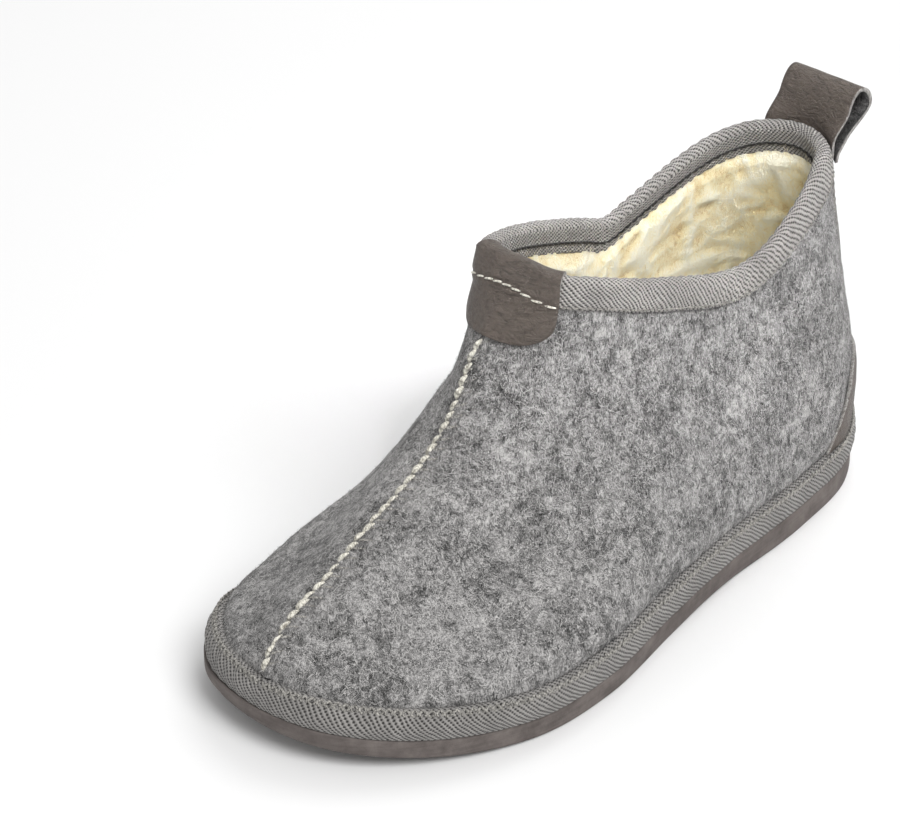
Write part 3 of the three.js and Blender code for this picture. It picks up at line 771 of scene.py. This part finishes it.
def felt_off(around, level, place):
    """How far the felt's face stands off its plain form."""
    off = 0.4 * noise(place, 19.0, 1) + 0.16 * noise(place, 6.5, 2) + 0.1 * noise(place, 2.2, 3)
    around = np.asarray(around)
    signed = (around + 0.5) % 1 - 0.5
    for at, height, long, wide, slant, rise in FOLDS:
        centre = read(WALL, at, height)
        tangent = unit(read(ACROSS, at, height))
        upward = unit(read(ALONG, at, height))
        way = tangent * math.cos(slant) + upward * math.sin(slant)
        cross = upward * math.cos(slant) - tangent * math.sin(slant)
        apart = place - centre
        far = ((apart @ way) / long) ** 2 + ((apart @ cross) / wide) ** 2 * 2
        off = off + rise * np.exp(-far)
    from_seam = np.abs(place[..., 0])
    way_up = read(WAYS, around, level)
    dimples = 0.16 * np.cos(way_up / RIDGE_WAVE * math.tau)
    off = off + hump(signed, 0, 0.07) * (-0.55 + dimples) * hump(from_seam, 3.4, 2.6)
    from_band = way_up - BAND_HEIGHT
    puckers = 0.35 * np.sin(around * 620 + 2.5 * noise(place, 30.0, 9)) * hump(signed, 0, 0.16)
    off = off + (0.5 + puckers) * hump(from_band, 5, 4.5)
    from_rim = height_of(around) - way_up
    off = off + 0.35 * hump(from_rim, TAPE_OUTSIDE + 5, 5)
    calm = ease(from_band, -1.0, 2.5) * ease(from_rim, TAPE_OUTSIDE - 2, TAPE_OUTSIDE + 2)
    return off * calm


def felt_face(around, level, extra=0.0):
    place = read(WALL, around, level)
    return place + wall_normal(around, level) * (felt_off(around, level, place) + extra)[..., None]


turns = np.arange(440) / 440
levels = np.linspace(0, 1, 136)
A, L = np.meshgrid(turns, levels, indexing="ij")
outside = felt_face(A, L)
A2, L2 = np.meshgrid(turns, np.linspace(1, 0, 8), indexing="ij")
inside = wall(A2, L2, -FELT)
felt = grid("felt_upper", np.concatenate([outside, inside], 1), FELT_GREY, True, True)
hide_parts("upper")


def scatter(count, low, high, seed):
    """Random places spread evenly over the wall between two ways, from the foot and the rim."""
    local = np.random.default_rng(seed)
    area = np.linalg.norm(np.cross(np.roll(WALL, -1, 0) - WALL, ALONG), axis=2)
    from_rim = LENGTHS[:, None] - WAYS
    area = np.where((WAYS > low) & (from_rim > high), area, 0)
    chosen = local.choice(area.size, count, p=(area / area.sum()).ravel())
    i, j = np.unravel_index(chosen, area.shape)
    around = (i + local.random(count)) / ROUND
    level = np.clip((j + local.random(count) - 0.5) / RISE, 0, 1)
    return around, level, local


def lying(around, level, angle):
    """Directions along the wall, each at an angle from the way round."""
    tangent = unit(read(ACROSS, around, level))
    cross = np.cross(wall_normal(around, level), tangent)
    return tangent * np.cos(angle)[:, None] + cross * np.sin(angle)[:, None]


FELT_FIBRES = 23000
fibre_mats = [
    plain_fibre("light_fibre", (200, 198, 196)),
    plain_fibre("mid_fibre", (130, 129, 128)),
    plain_fibre("dark_fibre", (40, 40, 40)),
]
for name, seed, longest in (("felt_fibres", 5, 3.2), ("felt_fibres_short", 15, 1.9)):
    around, level, local = scatter(FELT_FIBRES, BAND_HEIGHT + 1, TAPE_OUTSIDE + 1, seed)
    place = felt_face(around, level, local.uniform(0.02, 0.2, FELT_FIBRES))
    direction = lying(around, level, local.uniform(0, math.tau, FELT_FIBRES))
    length = local.uniform(0.9, longest, FELT_FIBRES)
    tuft = noise(place, 5.0, 21 + seed) + local.normal(0, 0.6, FELT_FIBRES)
    fibres = ribbons(
        name,
        place,
        direction * length[:, None],
        local.normal(0, 0.7, FELT_FIBRES),
        wall_normal(around, level) * local.uniform(-0.1, 0.4, FELT_FIBRES)[:, None],
        local.uniform(0.08, 0.15, FELT_FIBRES),
        fibre_mats,
        np.where(tuft > 0.3, 0, np.where(tuft > -0.3, 1, 2)),
    )


# Centre seam: two felt edges standing up, whipped together with off-white thread

SEAM_FOOT = BAND_HEIGHT + 0.8
SEAM_TOP = float(height_of(0.0)) - TAB_LENGTH + 2.5


def by_seam(way, x, off):
    """A point near the seam: way up from the foot, across in x, and off the plain wall."""
    way, x, off = np.broadcast_arrays(way, x, off)
    level = level_up(0.0, way)
    per_turn = np.abs(read(ACROSS, 0.0, level)[..., 0]) / 6 * ROUND
    return wall(x / per_turn, level, off)


ways = np.linspace(SEAM_FOOT, SEAM_TOP, 260)
bars = np.linspace(-1, 1, 15)
W, B = np.meshgrid(ways, bars, indexing="ij")
profile = 1.9 * (1 - np.abs(B) ** 3.2) - 0.35 * hump(B, 0, 0.16) - 0.9 * (np.abs(B) > 0.99)
pinch = 0.16 * np.cos(W / RIDGE_WAVE * math.tau + 0.6 * B)
ridge_points = by_seam(W, B * 1.75 + 0.12 * np.sin(W / 9.0), profile + pinch)
ridge_points += 0.14 * noise(ridge_points, 1.6, 4)[..., None] * wall_normal(0.0, level_up(0.0, ways))[:, None]
ridge = grid("seam_ridge", ridge_points, FELT_EDGE, flip=False)

stitch_ways = np.arange(SEAM_FOOT + 1.0, SEAM_TOP - 5.5, SEAM_PITCH)
jitter = local.normal(0, 0.3, (len(stitch_ways), 3))
steps = np.linspace(0, 1, 11)[None, :]
over_way = stitch_ways[:, None] + jitter[:, :1] + 4.9 * steps - 0.5
over_x = -1.9 + 1.5 * steps + jitter[:, 1:2] * 0.5
over_off = 0.5 + 1.75 * np.sin(steps * np.pi * 0.75) + jitter[:, 2:] * 0.25
swell = np.sin(np.clip(steps, 0.03, 0.97) * np.pi) ** 0.5
paths = by_seam(over_way, over_x, over_off)
white = tubes("seam_stitches", paths, 0.76 * swell * (1 + jitter[:, :1] * 0.6), SEAM_THREAD, 9)
under_way = stitch_ways[:, None] + 2.0 + jitter[:, 1:2] + 2.4 * steps
under_x = -0.5 + 2.3 * steps
under_off = 2.0 - 1.9 * steps**2
second = tubes("seam_crossings", by_seam(under_way, under_x, under_off), 0.42 * swell, GREY_THREAD, 7)
hairs = 1500
way = local.uniform(SEAM_FOOT, SEAM_TOP - 2, hairs)
across = local.uniform(-1, 1, hairs)
start = by_seam(way, across * 1.9, 1.75 * (1 - np.abs(across) ** 3.2))
heading = local.normal(0, 1, (hairs, 3))
heading *= (local.uniform(0.8, 2.4, hairs) / np.linalg.norm(heading, axis=1))[:, None]
lift = wall_normal(0.0, level_up(0.0, way)) * local.uniform(0.0, 0.5, hairs)[:, None]
seam_fuzz = ribbons(
    "seam_fuzz",
    start,
    heading,
    local.normal(0, 0.3, hairs),
    lift,
    local.uniform(0.07, 0.13, hairs),
    fibre_mats,
    local.integers(0, 3, hairs),
)

# Wool pile lining and footbed


def pile_off(place, seed):
    """Curly wool: round tufts with deep lines between them, from 0 to 1."""
    warp = np.stack([noise(place, 9.0, seed + k) for k in (1, 2, 3)], -1) * 3.0
    bent = place + warp
    big = 1 - np.abs(noise(bent, 13.0, seed + 4)) * 1.9
    mid = 1 - np.abs(noise(bent, 6.0, seed + 5)) * 1.7
    small = noise(bent, 2.4, seed + 6)
    return np.clip(0.5 + 0.3 * (big - 0.5) + 0.28 * (mid - 0.5) + 0.14 * small, 0, 1.1)


def pile_depth(around, down, tuft):
    """How far the wool stands off the felt: less by the tape, and less deep in the toe."""
    narrow = 1 - 0.45 * hump((around + 0.5) % 1, 0.5, 0.13) * ease(down, 45, 80)
    grown = 0.42 + 0.58 * ease(down, TAPE_INSIDE - 0.5, TAPE_INSIDE + 4.0)
    return PILE * narrow * grown * (0.44 + 0.62 * tuft)


turns_in = np.arange(380) / 380
down = np.concatenate([np.linspace(TAPE_INSIDE - 0.4, 13, 12), np.linspace(14, 200, 150)])
A, D = np.meshgrid(turns_in, down, indexing="ij")
D = np.minimum(D, height_of(A) - 0.5 - (200 - D) * 0.002)
L = level_down(A, D)
tufts = pile_off(wall(A, L, -FELT), 40)
lining_points = wall(A, L, -FELT - pile_depth(A, D, tufts))
# The tuft heights go along as the depth attribute, from which the wool's material paints shade between the
# tufts.
lining = grid("pile_lining", lining_points, PILE_CREAM, True, False, flip=True, depth=tufts)

inset = WALL_INSET + FELT + GAP * 2
A, S = np.meshgrid(np.arange(240) / 240, np.linspace(0, 1, 40), indexing="ij")
edge = sole_edge_out(A, -inset - 0.6)
spine_x = np.interp(edge[..., 1], [TOE_END, -40, 60, HEEL_END], [2, 6, 3, 0])
spine = np.stack([spine_x, edge[..., 1] * 0.9], -1)
flat = edge * (1 - S[..., None]) + spine * S[..., None]
bed = np.dstack([flat, outsole_top(flat[..., 1]) + GAP + INSOLE - 0.9])
heel_dent = 1.3 * hump(flat[..., 0], 0, 20) * hump(flat[..., 1], 88, 26)
ball_dent = 0.9 * hump(flat[..., 0], 4, 28) * hump(flat[..., 1], -55, 30)
bed_tufts = pile_off(bed, 60)
bed[..., 2] += ease(S, 0, 0.12) * (0.6 + 2.2 * bed_tufts) - heel_dent - ball_dent
low_edge = bed[:, :1].copy()
low_edge[..., 2] = outsole_top(low_edge[..., 1]) + GAP + 0.2
bed = np.concatenate([low_edge, bed], 1)
bed_depth = np.concatenate([bed_tufts[:, :1], bed_tufts], 1)
# Here too the depth attribute gives painted shade between the tufts.
footbed = grid("pile_footbed", bed, PILE_CREAM, True, False, flip=False, depth=bed_depth)
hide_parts("insole")

WOOL_FIBRES = 22000
around, level, local = scatter(WOOL_FIBRES, 8, TAPE_INSIDE + 0.2, 8)
base = wall(around, level, -FELT)
tuft = pile_off(base, 40)
way_down = height_of(around) - read(WAYS, around, level)
angle = noise(base, 9.0, 77) * 4.5 + local.normal(0, 0.5, WOOL_FIBRES)
# Fibres on the low parts between tufts take the darker tan colour, painted shade in the wool's hollows.
kind = np.where(tuft + local.normal(0, 0.12, WOOL_FIBRES) > 0.5, 0, 1)
wool = ribbons(
    "pile_fibres",
    wall(around, level, 0.25 - FELT - pile_depth(around, way_down, tuft)),
    lying(around, level, angle) * local.uniform(2.0, 4.6, WOOL_FIBRES)[:, None],
    local.normal(0, 1.0, WOOL_FIBRES),
    -wall_normal(around, level) * local.uniform(0.1, 1.0, WOOL_FIBRES)[:, None],
    local.uniform(0.1, 0.19, WOOL_FIBRES),
    [plain_fibre("pale_wool", (254, 246, 220)), plain_fibre("shaded_tan_wool", (240, 218, 168))],
    kind,
)

# Collar binding: tape folded over the rim

turns = np.arange(620) / 620
OUTER = GAP + TAPE_THICK
outs = np.linspace(TAPE_OUTSIDE, 0, 13)
ins = np.linspace(0, TAPE_INSIDE, 12)
arc = np.linspace(0, np.pi, 11)[1:-1]


def collar_puckers(around, way, place):
    """Small folds in the tape, strongest where the rim dips on either side."""
    side = hump(around, 0.305, 0.07) + hump(around, 0.695, 0.07)
    lines = np.sin(around * 540 + way * 0.55 + 1.6 * noise(place, 14.0, 31))
    return (0.12 + 0.26 * side) * lines + 0.18 * noise(place, 5.0, 32)


def collar_row(way, off_sign):
    level = level_down(turns, way)
    place = read(WALL, turns, level)
    fullness = 0.45 * math.sin(math.pi * min(1.0, way / 8.0)) if off_sign > 0 else 0.35
    puckers = collar_puckers(turns, way, place)
    off = OUTER + fullness + puckers if off_sign > 0 else -FELT - OUTER - 0.2 - puckers
    return wall(turns, level, off)


def collar_top(angle):
    middle = read(WALL, turns, 1.0) - wall_normal(turns, 1.0) * (FELT / 2)
    puckers = collar_puckers(turns, 0.0, middle)
    radius = (FELT / 2 + OUTER + puckers)[:, None]
    up = up_from_rim(turns)
    out = wall_normal(turns, 1.0)
    return middle + radius * (out * math.cos(angle) + up * math.sin(angle) * 0.85)


edge_in = wall(turns, level_down(turns, TAPE_OUTSIDE), 0.12)
edge_back = wall(turns, level_down(turns, TAPE_INSIDE), -FELT - 0.3)
rows = [edge_in] + [collar_row(w, 1) for w in outs] + [collar_top(a) for a in arc]
rows += [collar_row(w, -1) for w in ins] + [edge_back]
collar = tape_grid("collar_binding", rows, COLLAR_TAPE)
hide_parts("collar_tape")


def stitch_row(name, spots, along, out, length, radius, material, lean=0.0, sides=6):
    """Stitches lying on a surface: middle places, directions along and outwards."""
    share = np.linspace(-0.5, 0.5, 7)[None, :, None]
    bow = (np.cos(share * np.pi) - 0.35) * radius * 1.1
    side = np.cross(out, along)
    way = along + side * lean
    paths = spots[:, None] + way[:, None] * share * length + out[:, None] * bow
    taper = np.sqrt(np.clip(1 - (np.abs(np.linspace(-1, 1, 7)) * 0.93) ** 4, 0.05, 1))
    return tubes(name, paths, radius * taper[None, :], material, sides)


def rows_round(start, stop, pitch, level_at, way, off):
    """Even places along the wall at one way from an edge, with directions along and out."""
    fine = np.linspace(start, stop, 3000)
    lengths = lengths_along(wall(fine, level_at(fine, way), off))
    count = int(lengths[-1] / pitch)
    at = np.interp((np.arange(count) + 0.5) * lengths[-1] / count, lengths, fine)
    level = level_at(at, way)
    spots = wall(at, level, off)
    ahead = at + 0.001
    along = unit(wall(ahead, level_at(ahead, way), off) - spots)
    return spots, along, wall_normal(at, level)


spots, along, out = rows_round(0.02, 0.98, 3.1, level_down, INNER_STITCH, -FELT - OUTER - 0.45)
inner_line = stitch_row("collar_stitches_inside", spots, along, -out, 3.3, 0.4, BLACK_THREAD)
spots, along, out = rows_round(0.03, 0.97, 2.7, level_down, TAPE_OUTSIDE - 0.9, OUTER + 0.3)
outer_line = stitch_row("collar_stitches_outside", spots, along, out, 2.3, 0.34, GREY_THREAD)

# Sole binding: padded tape round the foot of the felt

turns = np.arange(680) / 680
BAND = [(0, 0.93), (0.28, 1), (0.55, 0.93), (0.8, 0.66), (1, 0.3)]
ups = np.linspace(0, 1, 17)
thick = smooth(*zip(*BAND), ups) * BAND_THICK


def band_puckers(around, up, place):
    """Folds where the tape turns the toe, and a slow wave elsewhere."""
    signed = (around + 0.5) % 1 - 0.5
    toe = hump(signed, -0.075, 0.055) + 0.5 * hump(signed, 0.1, 0.06)
    heel = 0.5 * hump(around, 0.5, 0.06)
    folds = np.sin(around * 760 + up * 3.2 + 1.5 * noise(place, 16.0, 51))
    return (0.07 + 0.34 * (toe + heel) * (0.35 + 0.65 * up)) * folds + 0.16 * noise(place, 11.0, 52)


rows = []
for up, fat in zip(ups, thick):
    level = level_up(turns, up * BAND_HEIGHT)
    place = read(WALL, turns, level)
    off = GAP + fat + band_puckers(turns, up, place) * (0.3 if up == 0 else 1)
    row = wall(turns, level, off)
    if up == 0:
        row[:, 2] = outsole_top(row[:, 1]) + GAP
    rows.append(row)
rows.append(wall(turns, level_up(turns, BAND_HEIGHT + 0.35), 0.15))
rows.append(wall(turns, level_up(turns, BAND_HEIGHT * 0.6), 0.1))
foot_row = wall(turns, level_up(turns, 0.0), 0.1)
foot_row[:, 2] = outsole_top(foot_row[:, 1]) + GAP
rows.append(foot_row)
band = tape_grid("sole_binding", rows, BAND_TAPE)
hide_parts("sole_band")
for name, lean, low in (("binding_stitches", 0.8, 0.9), ("binding_stitches_back", -0.9, 1.2)):
    off = GAP + BAND_THICK * 0.56
    spots, along, out = rows_round(0.0, 0.9985, 2.5, level_up, BAND_HEIGHT - low, off)
    chain = stitch_row(name, spots, along, out, 2.5, 0.42, GREY_THREAD, lean=lean)

# Outsole

turns = np.arange(520) / 520
rows = []
for inside_by, height in ((1.5, 0.0), (0.9, 0.05), (0.4, 0.25), (0.1, 0.6), (0.0, 1.1)):
    edge = sole_edge_out(turns, -inside_by)
    rows.append(np.column_stack([edge, ground_height(edge[:, 1]) + height]))
# the sole stands out most on the big-toe side of the toe
bulge = 1.4 * hump((turns + 0.5) % 1, 0.44, 0.09) + 0.08 * np.sin(turns * 40)
edge = sole_edge_out(turns, bulge)
low = ground_height(edge[:, 1]) + 1.1
for share in (0.3, 0.55, 0.8, 1.0):
    rows.append(np.column_stack([edge, low + (outsole_top(edge[:, 1]) - low) * share]))
rim_rows = rows[::-1]
half = np.arange(1, 30) / 29


def caps(row, height_at):
    """Rows that close a face of the sole towards its middle line."""
    middle = np.interp(row[:, 1], [TOE_END, -40, 60, HEEL_END], [-2, 6, 3, 0])
    spine = np.column_stack([middle, row[:, 1] * 0.92])
    result = []
    for share in half:
        flat_row = row[:, :2] * (1 - share) + spine * share
        result.append(np.column_stack([flat_row, height_at(flat_row[:, 1])]))
    return result


sole_rows = caps(rim_rows[0], outsole_top)[::-1] + rim_rows + caps(rim_rows[-1], ground_height)
sole = grid("outsole_wedge", np.stack(sole_rows, 1), RUBBER, True, False, flip=False)
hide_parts("outsole")

# Leather tab over the throat

COUNT = 41
shares = np.linspace(-0.5, 0.5, COUNT)
over_tape = TAPE_THICK + GAP * 2 + LEATHER


def tab_row(way, off):
    rounding = TAB_LENGTH * 0.5
    past = max(0.0, (way - TAB_LENGTH + rounding) / rounding)
    width = TAB_WIDTH * math.sqrt(max(0.02, 1 - 0.97 * past**2.6))
    level = float(level_down(0.0, way))
    places = around_at_x(shares * width, level, 0)
    return wall(places, level_down(places, way), off)


def tab_off(way):
    step = float(ease(way, TAPE_OUTSIDE - 0.5, TAPE_OUTSIDE + 3))
    puff = 0.35 * hump(way, 16, 4.5) - 0.5 * hump(way, STITCH_DOWN, 0.9)
    return over_tape * (1 - step) + (GAP + LEATHER) * step + puff + 0.1


edge_curl = 0.35 * (np.abs(shares) * 2) ** 8
LONG_WRINKLES = np.array([0.3, 1.0, 1.0])
ways = np.concatenate([np.linspace(0, TAB_LENGTH - 4, 34), np.linspace(TAB_LENGTH - 3.4, TAB_LENGTH, 12)])
outer_rows = []
for way in ways[::-1]:
    row = tab_row(way, tab_off(way) - edge_curl * 0.6)
    wrinkle = 0.3 * noise(row * LONG_WRINKLES, 2.3, 71) * hump(way, 13, 7) + 0.14 * noise(row, 6.0, 72)
    wrinkle += 1.1 * hump(row[:, 0], 0, 2.6) * ease(way, TAB_LENGTH - 12, TAB_LENGTH)
    outer_rows.append(row + wall_normal(0.0, float(level_down(0.0, way))) * wrinkle[:, None])
top_places = around_at_x(shares * TAB_WIDTH, 1.0, 0)
top_middle = wall(top_places, 1.0, -FELT / 2)
reach = FELT / 2 + over_tape + 0.2
up = up_from_rim(top_places)
out = wall_normal(top_places, 1.0)
for angle in np.linspace(0, np.pi, 12)[1:-1]:
    outer_rows.append(top_middle + reach * (out * math.cos(angle) + up * math.sin(angle) * 0.66))
for way in np.linspace(0, TAB_INSIDE, 9):
    outer_rows.append(tab_row(way, -FELT - over_tape - 0.1))
outer = np.stack(outer_rows, 0)
normal = unit(np.cross(np.gradient(outer, axis=0), np.gradient(outer, axis=1)))
if normal[20, 20] @ np.array([0, -1, 0.3]) < 0:
    normal = -normal
inner = outer - normal * LEATHER


def slab(name, outer, inner):
    """A leather sheet with its own thickness, and its back and cut edge in materials of their own."""
    ring = np.concatenate([outer, inner[:, ::-1]], 1)
    nu, nv = outer.shape[:2]
    body = ring.reshape(-1, 3)
    i = np.arange(nu - 1)[:, None]
    k = np.arange(2 * nv)[None, :]
    nxt = (k + 1) % (2 * nv)
    faces = np.stack([i * 2 * nv + k, (i + 1) * 2 * nv + k, (i + 1) * 2 * nv + nxt, i * 2 * nv + nxt], -1)
    slots = np.where(k < nv - 1, 0, np.where(k == nv - 1, 2, np.where(k < 2 * nv - 1, 1, 2))) + 0 * i
    ends = []
    for row in (0, nu - 1):
        base = row * 2 * nv
        j = np.arange(nv - 1)
        quad = np.stack([base + j, base + j + 1, base + 2 * nv - 2 - j, base + 2 * nv - 1 - j], -1)
        ends.append(quad if row == 0 else quad[:, ::-1])
    faces = np.concatenate([faces.reshape(-1, 4), *ends])
    slots = np.concatenate([slots.ravel(), np.full(2 * (nv - 1), 2)])
    flip = volume_sign(body - body.mean(0), faces) < 0
    return build(name, body, faces, [LEATHER_FACE, FLESH, LEATHER_EDGE], slots, flip=flip)


tab = slab("leather_tab", outer, inner)
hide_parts("throat_tab")

level = float(level_down(0.0, STITCH_DOWN))
xs = np.linspace(-TAB_WIDTH / 2 + 2.2, TAB_WIDTH / 2 - 1.6, 9)
stitch_places = around_at_x(xs, level, 0)
spots = wall(stitch_places, level_down(stitch_places, STITCH_DOWN), tab_off(STITCH_DOWN) + 0.15)
along = unit(np.gradient(spots, axis=0))
out = wall_normal(stitch_places, level)
tab_line = stitch_row("tab_stitches", spots, along, out, 3.4, 0.36, SEAM_THREAD, lean=0.16)

# Pull loop: a strap standing up behind the collar, with its tail down the back seam

JOIN_DOWN = TAPE_OUTSIDE - STRAP_THICK
join_level = float(level_down(0.5, JOIN_DOWN))
join = wall(0.5, join_level)
tall = LOOP_HEIGHT + JOIN_DOWN
foot = np.array([join[1] + TAPE_THICK + GAP * 2 + STRAP_THICK / 2, join[2]])
line = foot + np.array(LOOP) * tall
knots = lengths_along(line)
fine = np.linspace(0, knots[-1], 90)
centre = np.stack([smooth(knots, line[:, axis], fine) for axis in range(2)], 1)
way = unit(np.gradient(centre, axis=0))
columns = np.linspace(-0.5, 0.5, 19)
strap_places = around_at_x(columns * STRAP_WIDTH, join_level, 0.5)
bow = wall(strap_places, join_level)[:, 1] - join[1]
straight = ease(centre[:, 1], join[2] + JOIN_DOWN, join[2] + tall * 0.7)


def strap_face(side):
    reach = side * LOOP_LEATHER / 2
    y = centre[:, None, 0] + bow[None, :] * (1 - straight[:, None]) - way[:, None, 1] * reach
    z = centre[:, None, 1] + way[:, None, 0] * reach + 0 * bow[None, :]
    x = np.broadcast_to(columns * STRAP_WIDTH, y.shape)
    face = np.stack([x, y, z], -1)
    return face + 0.16 * noise(face, 5.0, 81)[..., None] * side * np.array([0, 0.7, 0.7])


loop = slab("leather_loop", strap_face(1), strap_face(-1))
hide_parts("pull_loop")

TAIL_TOP = float(height_of(0.5)) - TAPE_OUTSIDE
tail_ways = np.linspace(COUNTER_HEIGHT - 1.5, TAIL_TOP + 0.5, 60)
outer_rows = []
inner_rows = []
for w in tail_ways:
    level = float(level_up(0.5, w))
    places = around_at_x(columns * STRAP_WIDTH, level, 0.5)
    row = wall(places, level, GAP + STRAP_THICK - 0.35 * (np.abs(columns) * 2) ** 6)
    outer_rows.append(row + wall_normal(0.5, level) * (0.14 * noise(row, 6.0, 83))[:, None])
    inner_rows.append(wall(places, level, 0.25))
tail = slab("leather_tail", np.stack(outer_rows), np.stack(inner_rows))

spots, along, out = [], [], []
for side in (-1, 1):
    for w in np.arange(COUNTER_HEIGHT + 3, TAIL_TOP - 1, 3.2):
        level = float(level_up(0.5, w))
        at = float(around_at_x(side * (STRAP_WIDTH / 2 - 2.2), level, 0.5))
        spots.append(wall(at, level, GAP + STRAP_THICK + 0.05))
        along.append(unit(read(ALONG, at, level)))
        out.append(wall_normal(at, level))
spots, along, out = (np.array(values) for values in (spots, along, out))
tail_line = stitch_row("tail_stitches", spots, along, out, 2.5, 0.3, GREY_THREAD)

# Heel counter: leather round the heel

HALF_LENGTH = lengths_along(sole_edge(np.linspace(0, 0.4999, 400)))[-1]
outer_rows = []
inner_rows = []
places = np.linspace(-1, 1, 161)
for share in np.linspace(0, 1, 30):
    w = (BAND_HEIGHT + GAP) * (1 - share) + COUNTER_HEIGHT * share
    half_turn = (COUNTER_FOOT * (1 - share) + COUNTER_TOP * share) / (2 * HALF_LENGTH)
    arounds = 0.5 + places * half_turn
    level = level_up(arounds, w)
    thin = 0.3 * np.abs(places) ** 14 + 0.3 * share**14
    row = wall(arounds, level, GAP + LEATHER + 0.15 - thin)
    rough = 0.16 * noise(row, 7.0, 91) + 0.08 * noise(row, 3.0, 92)
    outer_rows.append(row + wall_normal(arounds, level) * rough[:, None])
    inner_rows.append(wall(arounds, level, 0.25))
counter = slab("leather_counter", np.stack(outer_rows), np.stack(inner_rows))
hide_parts("heel_counter")


# Floor, light and camera


FLOOR_SIZE = 4.0
WORLD_LIGHT = 0.64


def stage_floor():
    s = Shader("floor_white", roughness=0.6, specular=0.2)
    cloud = s.noise(1.2, 2, 0.5)
    material = s.finish(s.mix(s.range(cloud, 0.3, 0.7), srgb(232, 232, 232), srgb(234, 234, 234)))
    mesh = bpy.data.meshes.new("floor")
    corners = [(x * FLOOR_SIZE, y * FLOOR_SIZE, 0) for x, y in ((-1, -1), (1, -1), (1, 1), (-1, 1))]
    mesh.from_pydata(corners, [], [(0, 1, 2, 3)])
    mesh.materials.append(material)
    floor = bpy.data.objects.new("floor", mesh)
    bpy.context.collection.objects.link(floor)


def area_light(name, place, size, energy, target=(0, 0, 0.04), spread=180):
    data = bpy.data.lights.new(name, "AREA")
    data.shape = "DISK"
    data.size = size
    data.energy = energy
    data.spread = math.radians(spread)
    lamp = bpy.data.objects.new(name, data)
    lamp.location = place
    lamp.rotation_mode = "QUATERNION"
    lamp.rotation_quaternion = (Vector(target) - Vector(place)).to_track_quat("-Z", "Y")
    bpy.context.collection.objects.link(lamp)


stage_floor()
world = bpy.data.worlds.new("soft_white")
bpy.context.scene.world = world
world.use_nodes = True
world.node_tree.nodes["Background"].inputs["Color"].default_value = (1, 1, 1, 1)
world.node_tree.nodes["Background"].inputs["Strength"].default_value = WORLD_LIGHT
area_light("key", (0.95, -0.25, 1.2), 0.9, 17)
area_light("back", (-0.35, 0.85, 1.15), 0.9, 6)
area_light("opening", (0.42, -0.22, 0.72), 0.12, 0.036, (-0.02, 0.06, 0.09), 16)
scene = bpy.context.scene
scene.view_settings.view_transform = "Standard"

AZIMUTH = math.radians(42.9)
ELEVATION = math.radians(31.77)
ROLL = math.radians(0.162)
DISTANCE = 1166.635
AIM = np.array([-84.232, 41.508, 0])
out = np.array([math.sin(AZIMUTH), -math.cos(AZIMUTH), 0])
back = out * math.cos(ELEVATION) + np.array([0, 0, math.sin(ELEVATION)])
right = np.array([math.cos(AZIMUTH), math.sin(AZIMUTH), 0])
upward = np.cross(back, right)
turned_right = right * math.cos(ROLL) + upward * math.sin(ROLL)
turned_up = -right * math.sin(ROLL) + upward * math.cos(ROLL)
eye = (AIM + back * DISTANCE + TO_FRAME) * MM
camera_data = bpy.data.cameras.new("camera")
camera_data.sensor_width = 36
camera_data.lens = 137.207
camera_data.clip_start = 0.05
camera_data.clip_end = 20
camera = bpy.data.objects.new("camera", camera_data)
bpy.context.collection.objects.link(camera)
axes = Matrix([[turned_right[k], turned_up[k], back[k], eye[k]] for k in range(3)] + [[0, 0, 0, 1]])
camera.matrix_world = axes
scene.camera = camera
